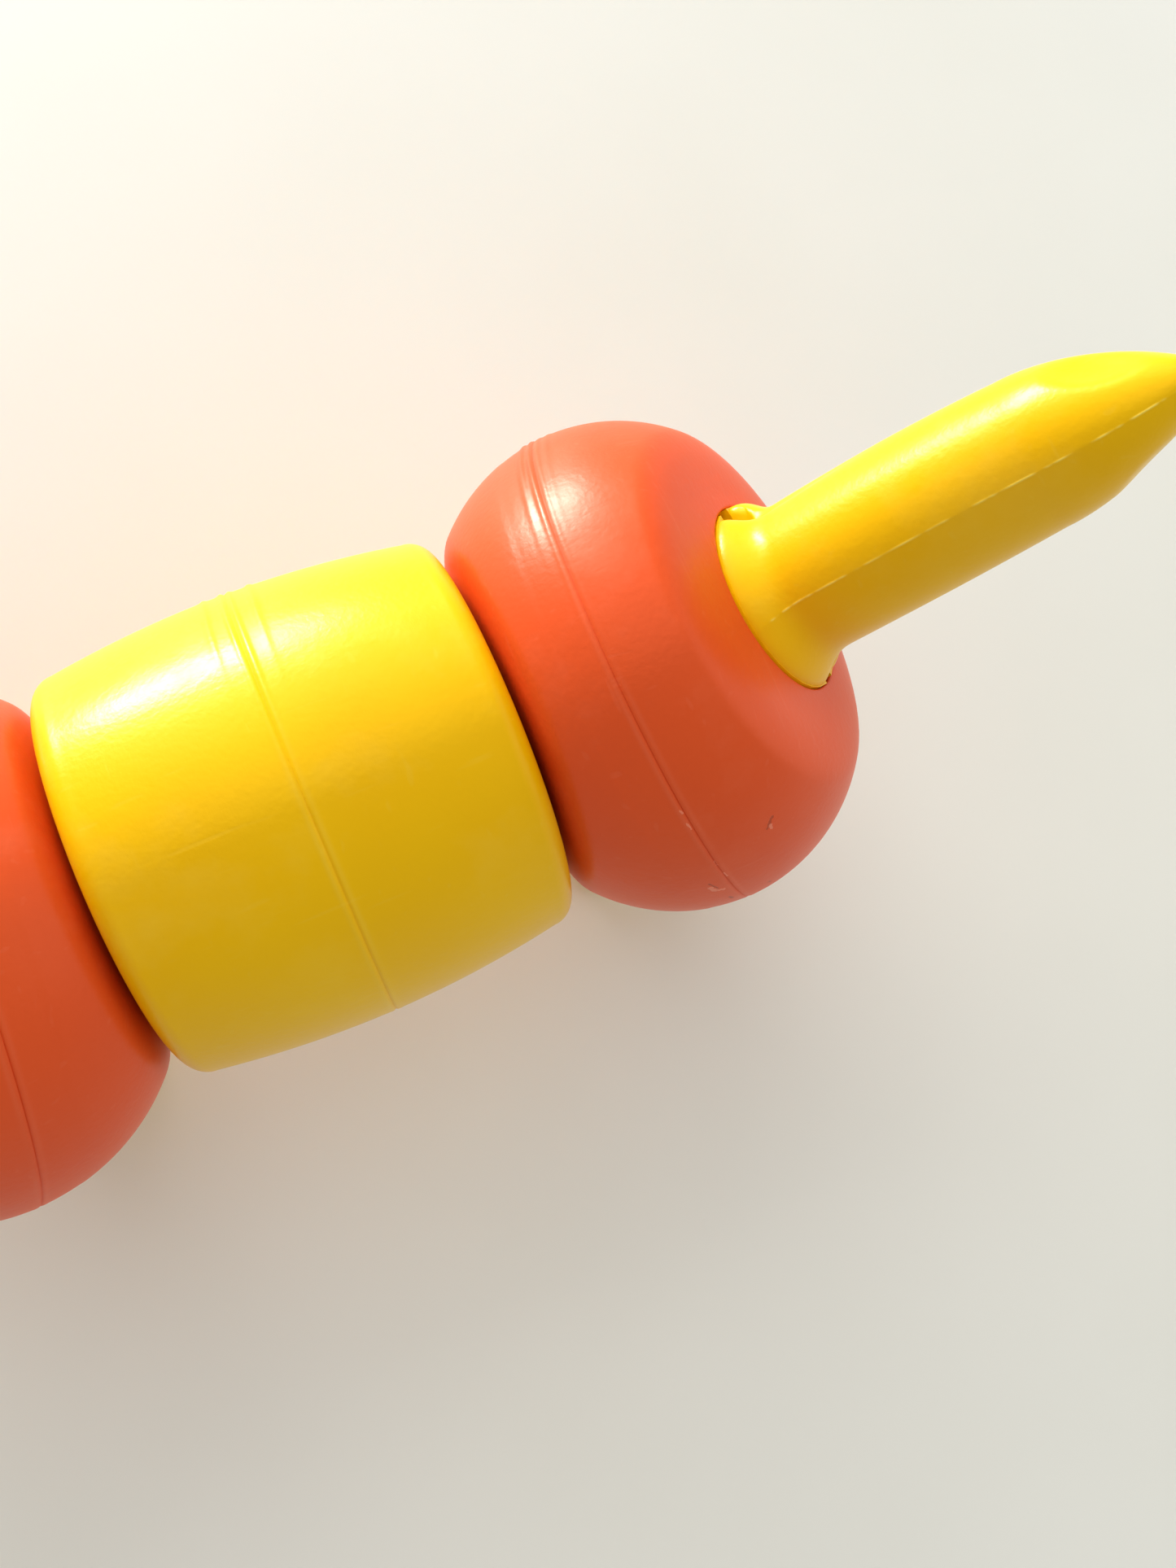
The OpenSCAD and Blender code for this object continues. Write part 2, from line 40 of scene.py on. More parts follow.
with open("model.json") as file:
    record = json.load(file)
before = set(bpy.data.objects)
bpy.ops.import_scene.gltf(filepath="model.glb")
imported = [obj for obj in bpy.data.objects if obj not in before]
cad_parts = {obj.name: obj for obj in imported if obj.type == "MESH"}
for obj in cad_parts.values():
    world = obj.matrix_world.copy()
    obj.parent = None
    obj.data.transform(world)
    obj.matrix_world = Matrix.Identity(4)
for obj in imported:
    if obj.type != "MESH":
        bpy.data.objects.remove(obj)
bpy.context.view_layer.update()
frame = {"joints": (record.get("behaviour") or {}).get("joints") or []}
scene = bpy.context.scene
joints = {j["name"]: j for j in frame["joints"]}

# Driving sizes of the part, in millimetres and degrees
WALL = 2.2
FACE_GAP = 0.5
FIT_GAP = 0.05
PORT_R = 13.5
BARREL_LEN = 56
BARREL_MID_R = 30
BARREL_RIM_R = 28
RIM_ROUND = 3.2
END_DOME = 0.8
BEAD_R = 35
BEAD_HALF = 27.2
BEAD_FULLNESS = 2.4
PORT_REACH = 21.9
PORT_LEAN = np.radians(20.4)
SOCKET_R = 10
SOCKET_DROP = BEAD_R + 0.5
LEG_SET_BACK = 1.5
LEG_SPREAD = 15
LEG_PORT_R = 6
HEAD_R = 31
HEAD_HALF = 28
HEAD_FULLNESS = 2.3
NECK_REACH = 24
TAIL_LEN = 58.5
TAIL_R = 10.6
TAIL_TIP_R = 9.7
TAIL_TIP_LEN = 21.5
TAIL_TURN = np.radians(25)


def unit(v):
    v = np.asarray(v, float)
    return v / np.linalg.norm(v, axis=-1, keepdims=True)


def joint_place(name):
    """A joint's point in millimetres and its axis."""
    return np.array(joints[name]["pos_m"]) / MM, unit(joints[name]["axis"])


def to_world(points, origin, axes):
    """Points given in local axes, in the part's frame."""
    return np.asarray(points) @ np.asarray(axes) + origin


# Places of the main pieces

tail_face, tail_axis = joint_place("tail_swivel")
neck_face, neck_axis = joint_place("head_swivel")
front_face = joint_place("chest_swivel")[0]
back_face = joint_place("rump_swivel")[0]
barrel_centre = (front_face + back_face) / 2
rump_centre = tail_face - PORT_REACH * tail_axis
chest_centre = neck_face - PORT_REACH * neck_axis
skull_centre = neck_face + (FACE_GAP + NECK_REACH) * neck_axis
UPRIGHT = np.eye(3)
DOWNWARDS = (np.zeros(3), np.diag([1, 1, -1]))
CHEST_AXES = np.array([-X, -Y, Z])


# Mesh helpers

def skin(rings, closed=False):
    """Points and faces of a skin over rings, which close into a loop or else are capped at both ends."""
    rings = np.asarray(rings, float)
    rows, cols = rings.shape[:2]
    k = np.arange(rows if closed else rows - 1)[:, None]
    i = np.arange(cols)[None, :]
    j = (i + 1) % cols
    after = (k + 1) % rows
    quads = np.stack(np.broadcast_arrays(k * cols + i, k * cols + j, after * cols + j, after * cols + i), -1)
    faces = quads.reshape(-1, 4).tolist()
    points = rings.reshape(-1, 3)
    if closed:
        return points, faces
    for row, order in ((0, -1), (rows - 1, 1)):
        hub = len(points)
        points = np.vstack([points, rings[row].mean(0)])
        edge = [row * cols + c for c in range(cols)][::order]
        faces += [[edge[c], edge[(c + 1) % cols], hub] for c in range(cols)]
    return points, faces


def outward(part):
    """The part with its faces turned outwards."""
    points, faces = part
    a, b, c, last = (points[[f[n] for f in faces]] for n in (0, 1, 2, -1))
    volume = (np.cross(a, b) * c).sum() + (np.cross(a, c) * last).sum()
    return (points, faces) if volume > 0 else (points, [f[::-1] for f in faces])


def joined(parts):
    """Several parts as one, each with its faces outwards."""
    points, faces, start = [], [], 0
    for p, f in map(outward, parts):
        points.append(p)
        faces += [[n + start for n in face] for face in f]
        start += len(p)
    return np.vstack(points), faces


def circle(count):
    """Points of a unit circle, and their turns."""
    turn = np.linspace(0, 2 * np.pi, count, endpoint=False)
    return np.stack([np.cos(turn), np.sin(turn)], -1), turn


def ring(spin, radius, height):
    """Points round local Z, with one radius and height for all or one for each."""
    return np.column_stack([spin * np.reshape(radius, (-1, 1)), height * np.ones(len(spin))])


def revolve(profile, count):
    """Rings round local Z from (radius, height) points."""
    spin, _ = circle(count)
    return [ring(spin, r, h) for r, h in profile]


def curve(start, corner, end, s):
    """A point of the curve from start to end that bends at a corner."""
    return (1 - s) ** 2 * start + 2 * s * (1 - s) * corner + s * s * end


ROUND_STEPS = 4


def rounded(corners, closed=True):
    """An outline of (radius, height, cut) corners, each rounded as far as its cut."""
    points = np.array([c[:2] for c in corners], float)
    count, out = len(corners), []
    for n, (p, corner) in enumerate(zip(points, corners)):
        inner = closed or 0 < n < count - 1
        if corner[2] == 0 or not inner:
            out.append(p)
            continue
        before, after = points[n - 1], points[(n + 1) % count]
        reach = [min(corner[2], 0.49 * np.linalg.norm(q - p)) for q in (before, after)]
        a = p + unit(before - p) * reach[0]
        b = p + unit(after - p) * reach[1]
        out += [curve(a, p, b, s) for s in np.linspace(0, 1, ROUND_STEPS + 1)]
    return np.array(out)


def soft_min(a, b, blend):
    """The smaller of a and b, rounded off where they are within blend."""
    h = np.maximum(blend - np.abs(a - b), 0) / blend
    return np.minimum(a, b) - h * h * blend / 4


def soft_max(a, b, blend):
    return -soft_min(-np.asarray(a), -np.asarray(b), blend)


def hump(x, centre, width):
    return np.exp(-(((x - centre) / width) ** 2))


def waver(turn, seed):
    """A slow uneven wave round a turn, from 0 to 1."""
    total = np.sin(turn + seed) + 0.7 * np.sin(3 * turn + 2.1 * seed) + 0.5 * np.sin(7 * turn + 0.7 * seed)
    return 0.5 + total / 4.4


def flattened(points, origin, normal, blend, within=FAR):
    """Points pressed back softly to a plane, within a distance of its origin."""
    height = (points - origin) @ normal
    near = np.linalg.norm(points - origin, axis=-1) < within
    return points - ((height - soft_min(height, 0, blend)) * near)[..., None] * normal


def new_object(name, points, faces):
    """A mesh object in the scene, from points in millimetres."""
    mesh = bpy.data.meshes.new(name)
    mesh.from_pydata((np.asarray(points) * MM).tolist(), [], faces)
    made = bpy.data.objects.new(name, mesh)
    scene.collection.objects.link(made)
    return made


# Node helpers for the materials

def add(tree, kind, inputs=None, **settings):
    """A new node. Its inputs are linked to sockets, or set to plain values."""
    node = tree.nodes.new(kind)
    for key, value in settings.items():
        setattr(node, key, value)
    for key, value in (inputs or {}).items():
        if isinstance(value, bpy.types.NodeSocket):
            tree.links.new(value, node.inputs[key])
        else:
            node.inputs[key].default_value = value
    return node


def noise(tree, where, scale, detail=3.0, roughness=0.5):
    inputs = {"Vector": where, "Scale": scale, "Detail": detail, "Roughness": roughness}
    return add(tree, "ShaderNodeTexNoise", inputs).outputs["Fac"]


def span(tree, value, low, high, to_low=0.0, to_high=1.0):
    inputs = {"Value": value, "From Min": low, "From Max": high, "To Min": to_low, "To Max": to_high}
    return add(tree, "ShaderNodeMapRange", inputs).outputs["Result"]


def maths(tree, operation, a, b):
    return add(tree, "ShaderNodeMath", {0: a, 1: b}, operation=operation).outputs[0]


def weighted(tree, *terms):
    """Sum of values, each given with its weight."""
    products = [maths(tree, "MULTIPLY", value, weight) for value, weight in terms]
    total = products[0]
    for product in products[1:]:
        total = maths(tree, "ADD", total, product)
    return total


def vectors(tree, operation, a, b=(0, 0, 0)):
    return add(tree, "ShaderNodeVectorMath", {0: a, 1: b}, operation=operation).outputs


def mixed(tree, share, a, b):
    return add(tree, "ShaderNodeMix", {"Factor": share, 6: a, 7: b}, data_type="RGBA").outputs[2]


def new_material(name):
    """A material with its node tree, its shader and the places of a piece's own points."""
    material = bpy.data.materials.new(name)
    material.use_nodes = True
    where = add(material.node_tree, "ShaderNodeTexCoord").outputs["Object"]
    return material, material.node_tree, material.node_tree.nodes["Principled BSDF"], where


def tinted(tree, tone, mask, weight, colour):
    """A tone drawn towards a colour by a mask and its weight."""
    return mixed(tree, maths(tree, "MULTIPLY", mask, weight), tone, colour)


def linear(red, green, blue):
    """A screen colour, from 0 to 255, for a shader."""
    c = np.array([red, green, blue]) / 255
    return (*np.where(c <= 0.04045, c / 12.92, ((c + 0.055) / 1.055) ** 2.4), 1.0)


# Plastic: the noise scales of its marks, for places in metres
DRIFT_SCALE = 26.0
HAZE_SCALE = 55.0
GRIT_SCALE = 2200.0
# How strongly each mark shows in the colour
DRIFT_SHOWS = 0.45
HAZE_SHOWS = 0.1
SCRATCH_SHOWS = 0.05
FLASH_SHOWS = 0.75
PAINTED_SHADE_SHOWS = 0.5
NICK_SHOWS = 0.45
CHIP_SHOWS = 0.6
# How much rougher a dulled place, and a seam groove under painted shade, is
DRIFT_DULLS = 0.05
HAZE_DULLS = 0.1
PAINTED_SHADE_DULLS = 0.15
# Heights of the marks as shares of the bump's height
SCRATCH_RISE = -0.08
NICK_RISE = -1.2
CHIP_RISE = 1.2
# Noise scale and height of grain, swell and pebbles
SURFACE = [(1300.0, 0.6), (160.0, 0.6), (600.0, 0.4)]
BUMP_H = 0.2
BUMP_STRENGTH = 0.25
SHEEN = 0.28
# Fine scratches in two directions: turn, stretch and the noise value where they start
SCRATCHES = [((0.5, 0.9, 0.3), (60, 900, 900), 0.7), ((1.4, 0.2, 1.1), (800, 50, 800), 0.71)]
SCRATCH_EDGE = 0.06

DIRT = linear(112, 30, 12)
# Dark nicks and pale chips on the rump, each (start, end, half width) from its middle
NICKS = [
    ((1.4, -27.0, 21.5), (0.6, -28.1, 20.4), 0.2),
    ((-7.5, -31.5, 13.2), (-6.3, -32.4, 11.6), 0.13),
    ((-4.3, -33.9, 7.0), (-3.6, -34.4, 5.6), 0.2),
    ((1.6, -34.3, 6.8), (2.0, -34.5, 6.2), 0.25),
]
CHIPS = [
    ((1.1, -27.9, 20.5), (1.2, -28.2, 20.1), 0.22),
    ((-7.3, -32.0, 12.0), (-6.5, -32.6, 11.0), 0.36),
    ((-6.2, -32.7, 10.9), (-5.6, -32.8, 10.9), 0.3),
    ((-9.9, -22.1, 25.4), (-9.6, -22.5, 25.0), 0.12),
    ((-9.4, -23.8, 23.9), (-9.0, -24.5, 23.2), 0.13),
    ((-6.8, -29.2, 18.0), (-6.5, -29.7, 17.3), 0.13),
    ((-5.6, -30.8, 15.4), (-5.2, -31.4, 14.5), 0.14),
]


def distance_to_line(tree, where, start, end):
    """Distance in metres to a short line between two places."""
    run = end - start
    offset = vectors(tree, "SUBTRACT", where, start)[0]
    share = span(tree, vectors(tree, "DOT_PRODUCT", offset, run / (run @ run))["Value"], 0.0, 1.0)
    away = vectors(tree, "SUBTRACT", offset, vectors(tree, "MULTIPLY", share, run)[0])[0]
    return vectors(tree, "LENGTH", away)["Value"]


def mark_mask(tree, where, marks):
    """Where ragged marks lie on the rump."""
    grit = span(tree, noise(tree, where, GRIT_SCALE, 3.0, 0.6), 0.3, 0.7, -0.35, 0.35)
    mask = 0.0
    for start, end, half_width in marks:
        away = distance_to_line(tree, where, (rump_centre + start) * MM, (rump_centre + end) * MM)
        ragged = maths(tree, "ADD", span(tree, away, 0.0, 2 * half_width * MM, 1.0, 0.0), grit)
        mask = maths(tree, "MAXIMUM", mask, span(tree, ragged, 0.4, 0.6))
    return mask


def scratch_mask(tree, where):
    """Where the fine scratches run."""
    masks = []
    for turn, stretch, threshold in SCRATCHES:
        turned = add(tree, "ShaderNodeMapping", {"Vector": where, "Rotation": turn, "Scale": stretch})
        lines = noise(tree, turned.outputs["Vector"], 1.0, 1.0)
        masks.append(span(tree, lines, threshold, threshold + SCRATCH_EDGE))
    return maths(tree, "MAXIMUM", *masks)


def plastic(name, colour, deep, pale, gloss, tint, nicks=(), chips=()):
    """Old satin polyethylene, with slow colour drift, dull patches and fine scratches. Each mesh's painted
    shade darkens its seam grooves and the tail's slot, and its flash pales its weld lines. Nicks and chips
    mark it where they are given."""
    material, tree, shader, where = new_material(name)
    drift = span(tree, noise(tree, where, DRIFT_SCALE, 2.0), 0.35, 0.7)
    haze = span(tree, noise(tree, where, HAZE_SCALE, 5.0, 0.62), 0.52, 0.72)
    scratches = scratch_mask(tree, where)
    # Each mesh's layers of painted shade and of flash
    painted_shade, flash = (add(tree, "ShaderNodeAttribute", attribute_name=layer).outputs["Fac"]
                   for layer in ("painted_shade", "flash"))

    tone = tinted(tree, colour, drift, DRIFT_SHOWS, deep)
    tone = tinted(tree, tone, haze, HAZE_SHOWS, pale)
    tone = tinted(tree, tone, scratches, SCRATCH_SHOWS, pale)
    tone = tinted(tree, tone, flash, FLASH_SHOWS, pale)
    # Painted shade: the seam grooves and the tail's slot are drawn towards the deep tone
    tone = tinted(tree, tone, painted_shade, PAINTED_SHADE_SHOWS, deep)

    worn = span(tree, drift, 0.0, 1.0, gloss, gloss + DRIFT_DULLS)
    rough = weighted(tree, (worn, 1.0), (haze, HAZE_DULLS), (painted_shade, PAINTED_SHADE_DULLS))
    tree.links.new(rough, shader.inputs["Roughness"])

    surface = [(noise(tree, where, scale, 2.0), rise) for scale, rise in SURFACE]
    relief = weighted(tree, *surface, (scratches, SCRATCH_RISE))
    if nicks:
        cut = mark_mask(tree, where, nicks)
        chip = mark_mask(tree, where, chips)
        tone = tinted(tree, tone, cut, NICK_SHOWS, DIRT)
        tone = tinted(tree, tone, chip, CHIP_SHOWS, pale)
        relief = weighted(tree, (relief, 1.0), (cut, NICK_RISE), (chip, CHIP_RISE))
    tree.links.new(tone, shader.inputs["Base Color"])
    bump = add(tree, "ShaderNodeBump", {"Height": relief, "Strength": BUMP_STRENGTH, "Distance": BUMP_H * MM})
    tree.links.new(bump.outputs["Normal"], shader.inputs["Normal"])

    shader.inputs["Specular IOR Level"].default_value = SHEEN
    shader.inputs["Specular Tint"].default_value = tint
    return material


MATERIALS = {
    YELLOW: plastic(
        YELLOW, linear(247, 195, 0), linear(239, 174, 0), linear(255, 232, 108),
        gloss=0.29, tint=(1.0, 0.9, 0.38, 1.0)),
    ORANGE: plastic(
        ORANGE, linear(230, 85, 31), linear(216, 70, 22), linear(250, 152, 118),
        gloss=0.36, tint=(1.0, 0.82, 0.66, 1.0), nicks=NICKS, chips=CHIPS),
    BLACK: plastic(
        BLACK, linear(40, 36, 34), linear(26, 23, 22), linear(84, 80, 78),
        gloss=0.16, tint=(1.0, 1.0, 1.0, 1.0)),
}


SHARP_EDGE = np.radians(38)


def make_piece(name, parts, body, slot, nodes, painted_shade=None, flash=None):
    """One moulding, in metres. The painted shade and the flash are numbers from 0 to 1 at the first part's
    points.
    """
    points, faces = joined(parts)
    piece = new_object(name, points, faces)
    mesh = piece.data
    mesh.shade_smooth()
    mesh.set_sharp_from_angle(angle=SHARP_EDGE)
    for layer, values in (("painted_shade", painted_shade), ("flash", flash)):
        filled = np.zeros(len(points), np.float32)
        if values is not None:
            filled[:values.size] = np.clip(values.ravel(), 0, 1)
        mesh.attributes.new(layer, "FLOAT", "POINT").data.foreach_set("value", filled)
    mesh.materials.append(MATERIALS[slot])
    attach(piece, body)
    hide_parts(*nodes)
    return piece


# Snap plugs

PLUG_LARGE = dict(radius=PORT_R, length=9, thick=2.4, proud=0.8, taper=1.6, width=3)
PLUG_LEG = dict(radius=LEG_PORT_R, length=7, thick=1.6, proud=0.5, taper=0.7, width=1.6)
PLUG_EAR = dict(radius=4, length=6, thick=1.4, proud=0.5, taper=0.7, width=1.6)
SNAP_PLAY = 0.2
SNAP_LAND = 1.2
ROOT_LAP = 0.2
FINGER_STEPS = 14
QUARTERS = [0, np.pi / 2, np.pi, 3 * np.pi / 2]


def prongs(radius, length, thick, proud, taper, width, gaps):
    """Springy fingers of a plug that points up from z = 0, slotted at these turns."""
    r = radius - FIT_GAP
    bead_z = WALL + SNAP_PLAY
    bead_h = proud + FIT_GAP
    outline = rounded([
        (r - thick, -ROOT_LAP, 0), (r, -ROOT_LAP, 0), (r, bead_z, 0.3), (r + bead_h, bead_z + bead_h, 0.4),
        (r + bead_h, bead_z + bead_h + SNAP_LAND, 0.5), (r - taper, length, 0.6), (r - thick, length, 0.4),
    ])
    half_gap = np.arcsin(width / 2 / outline[:, 0])
    parts = []
    for n, start in enumerate(gaps):
        end = gaps[(n + 1) % len(gaps)]
        end += 2 * np.pi * (end <= start)
        rings = []
        for s in np.linspace(0, 1, FINGER_STEPS + 1):
            turn = (start + half_gap) * (1 - s) + (end - half_gap) * s
            radii, heights = outline.T
            rings.append(np.column_stack([radii * np.cos(turn), radii * np.sin(turn), heights]))
        parts.append(skin(rings))
    return parts


def moved(parts, origin, axes):
    """Parts given in local axes, in the part's frame."""
    return [(to_world(points, origin, axes), faces) for points, faces in parts]


# Oval half shells: the beads and the back of the skull

# Columns, outer rows and inner rows of a half shell
SHELL_COLUMNS = 192
SHELL_ROWS = 42
SHELL_INNER_ROWS = 16
# Newton steps that find an oval's surface
OVAL_STEPS = 14


def oval_reach(directions, axis, radius, half, fullness):
    """Distance from an oval's centre to its surface in each unit direction."""
    along = directions @ axis
    across = np.sqrt(np.maximum(1 - along ** 2, 1e-12))
    t = np.full(np.shape(along), min(radius, half) * 0.9)
    for _ in range(OVAL_STEPS):
        a = t * across / radius
        value = a ** fullness + (t * along / half) ** 2 - 1
        slope = fullness * a ** (fullness - 1) * across / radius + 2 * t * (along / half) ** 2
        t = t - value / slope
    return t


def plane_reach(directions, normal, distance):
    """Distance from the centre to a plane in each unit direction."""
    facing = directions @ normal
    return np.where(facing > 0.05, distance / np.maximum(facing, 0.05), FAR)


BEAD_AXIS = np.array([np.cos(PORT_LEAN), 0, np.sin(PORT_LEAN)])
OUTER_PORT = np.array([np.cos(2 * PORT_LEAN), 0, np.sin(2 * PORT_LEAN)])
INNER_PORT = -X
CREASE = 3.4


def bead_reach(directions, inset):
    """Distance from a bead's centre to its skin, sunk by inset."""
    t = oval_reach(directions, BEAD_AXIS, BEAD_R - inset, BEAD_HALF - inset, BEAD_FULLNESS)
    for port in (OUTER_PORT, INNER_PORT):
        t = soft_min(t, plane_reach(directions, port, PORT_REACH - inset), CREASE)
    return t


SKULL_NECK = -neck_axis


def skull_reach(directions, inset):
    """The same for the skull."""
    t = oval_reach(directions, X, HEAD_R - inset, HEAD_HALF - inset, HEAD_FULLNESS)
    return soft_min(t, plane_reach(directions, SKULL_NECK, NECK_REACH - inset), CREASE)


# Distances of the rings from a seam
SEAM_GAPS = [
    5.2, 4.7, 4.3, 3.9, 3.5, 3.2, 2.95, 2.7, 2.45, 2.2, 1.95, 1.7, 1.5, 1.3, 1.12, 0.96, 0.82, 0.68, 0.55,
    0.42, 0.3, 0.2, 0.1, 0.0]
WELD_H = 0.3
RIDGE_OFF = 0.6
RIDGE_W = 0.36
OUTER_RIDGE_W = 0.42
WELD_GROOVE = 0.17
GROOVE_W = 0.17


def weld_relief(gap, turn, seed, crest, second):
    """Height of a weld line at a distance from its seam: a fine groove, a soft ridge that is highest at the
    turn called crest, and a shorter ridge there at the distance second."""
    near = np.clip(np.cos(turn - crest), 0, 1)
    ridge = WELD_H * (0.15 + 0.85 * near ** 3) * (0.5 + 0.5 * waver(3 * turn, seed))
    ridge = ridge * hump(gap, RIDGE_OFF, RIDGE_W)
    second = second + 0.2 * np.sin(4 * turn)
    outer = WELD_H * near ** 7 * (0.6 + 0.4 * waver(5 * turn, seed)) * hump(gap, second, OUTER_RIDGE_W)
    groove = WELD_GROOVE * (1 - 0.6 * near) * (0.7 + 0.3 * waver(2 * turn, seed + 2))
    groove = groove * hump(gap, 0, GROOVE_W)
    return ridge + outer - groove


def along_arc(start, end, share):
    """Unit directions on the great circles from start to end."""
    omega = np.arccos(np.clip((start * end).sum(-1, keepdims=True), -1, 1))
    return (np.sin((1 - share) * omega) * start + np.sin(share * omega) * end) / np.sin(omega)


def port_ring(port, across, radius, height, turn):
    """Points of a circle round a port's axis."""
    side = np.cross(port, across)
    return height * port + radius * (np.cos(turn)[:, None] * across + np.sin(turn)[:, None] * side)


def half_shell(reach, port, port_reach, ring_r, seam_axis, seam_r, relief):
    """Rings of a half shell from its port to its seam outside, and of its inside. With them come their
    distances from the seam, the port's first direction and the turns."""
    _, turn = circle(SHELL_COLUMNS)
    across = unit(np.cross(Y, port))
    seam_across = unit(np.cross(Y, seam_axis))
    seam = port_ring(seam_axis, seam_across, 1, 0, turn)
    outer, inner, gaps = [], [], []

    def at(start, share, inset, lift=0):
        d = along_arc(start, seam, share)
        return d * (reach(d, inset) + lift)[:, None]

    def share_at(start, gap, radius):
        omega = np.arccos(np.clip((start * seam).sum(-1), -1, 1))
        sine = np.clip(gap / radius * np.sin(omega) / (start @ seam_axis), -1, 1)
        return (1 - np.arcsin(sine) / omega)[:, None]

    start = unit(port_ring(port, across, ring_r, port_reach, turn))
    near = share_at(start, SEAM_GAPS[0], seam_r)
    for k in range(SHELL_ROWS):
        outer.append(at(start, near * k / SHELL_ROWS, 0))
        gaps.append(FAR)
    for gap in SEAM_GAPS:
        outer.append(at(start, share_at(start, gap, seam_r), 0, relief(gap, turn)))
        gaps.append(gap)
    start = unit(port_ring(port, across, PORT_R, port_reach - WALL, turn))
    for share in np.linspace(1, 0, SHELL_INNER_ROWS):
        inner.append(at(start, share, WALL))
        gaps.append(FAR)
    return outer, inner, gaps, across, turn


LIP = 0.45
LIP_STEPS = 6


def lip_profile(top):
    """Radius and height of the points that round a port's edge."""
    return [(PORT_R + LIP * (1 - np.cos(a)), top - LIP * (1 - np.sin(a)))
            for a in np.linspace(0, np.pi / 2, LIP_STEPS)]


def open_shell(reach, port, port_reach, seam_axis, seam_r, relief):
    """Half shell with a round hole through its port."""
    lip_r = PORT_R + LIP
    outer, inner, gaps, across, turn = half_shell(reach, port, port_reach, lip_r, seam_axis, seam_r, relief)
    lip = [port_ring(port, across, r, h, turn) for r, h in lip_profile(port_reach)]
    # The lip's outer ring is sunk onto the shell's skin, and the rest in part
    sunk = outer[0] - port_ring(port, across, lip_r, port_reach, turn)
    rings = [ring + sunk * share for ring, share in zip(lip, np.linspace(0, 1, LIP_STEPS))]
    return skin(rings + outer[1:] + inner, closed=True), np.array([FAR] * LIP_STEPS + gaps[1:])


NECK_FILLET = 0.9
# Rings are closed round this small circle
HUB_R = 0.5


def plugged_shell(reach, port, port_reach, seam_axis, seam_r, relief):
    """Half shell whose port face carries a split plug."""
    neck_r = PORT_R - FIT_GAP
    start_r = neck_r + NECK_FILLET
    outer, inner, gaps, across, turn = half_shell(reach, port, port_reach, start_r, seam_axis, seam_r, relief)
    tube_r = neck_r - PLUG_LARGE["thick"]
    top = port_reach + FACE_GAP
    neck = [port_ring(port, across, r, h, turn) for r, h in (
        (HUB_R, port_reach), (tube_r, port_reach), (tube_r, top), (neck_r, top), (neck_r, port_reach + 0.3),
        (neck_r + 0.15, port_reach + 0.1))]
    rings = neck + outer + inner + [port_ring(port, across, HUB_R, port_reach - WALL, turn)]
    shell = skin(rings)
    axes = np.array([across, np.cross(port, across), port])
    fingers = moved(prongs(gaps=QUARTERS, **PLUG_LARGE), top * port, axes)
    return [shell, *fingers], np.array([FAR] * len(neck) + gaps + [FAR])


RUBBING = 0.16
RUBBED_W = 0.3


def seam_marks(gaps, columns, seed, groove_shade=0.8):
    """Painted shade in a seam's groove and flash on its rubbed crests, both uneven round it."""
    _, turn = circle(columns)
    gaps = np.asarray(gaps)[:, None]
    return {
        "painted_shade": groove_shade * hump(gaps, 0, GROOVE_W) * (0.4 + 0.6 * waver(3 * turn, seed)),
        "flash": RUBBING * hump(gaps, RIDGE_OFF, RUBBED_W) * waver(2 * turn, seed + 5)}


def cut_by_cylinders(piece, cylinders):
    """Cuts round holes in a piece: each is (start, end, radius), in millimetres."""
    cutters = []
    for start, end, radius in cylinders:
        axis = unit(end - start)
        side = unit(np.cross(axis, Y if abs(axis[1]) < 0.9 else X))
        rings = revolve([(radius, 0), (radius, np.linalg.norm(end - start))], 64)
        part = skin(rings)
        cutters += moved([part], start, np.array([side, np.cross(axis, side), axis]))
    cutter = new_object("cutter", *joined(cutters))
    change = piece.modifiers.new("holes", "BOOLEAN")
    change.operation = "DIFFERENCE"
    change.solver = "EXACT"
    change.object = cutter
    bpy.context.view_layer.update()
    result = bpy.data.meshes.new_from_object(piece.evaluated_get(bpy.context.evaluated_depsgraph_get()))
    piece.modifiers.clear()
    piece.data = result
    bpy.data.objects.remove(cutter)


# Leg sockets under the beads

SOCKET_FLARE = 3.2
SOCKET_LAP = 0.25
SOCKET_ROUND = 0.4
SOCKET_BORE = 9
# Steps that bring a point onto a skin
SKIN_STEPS = 30


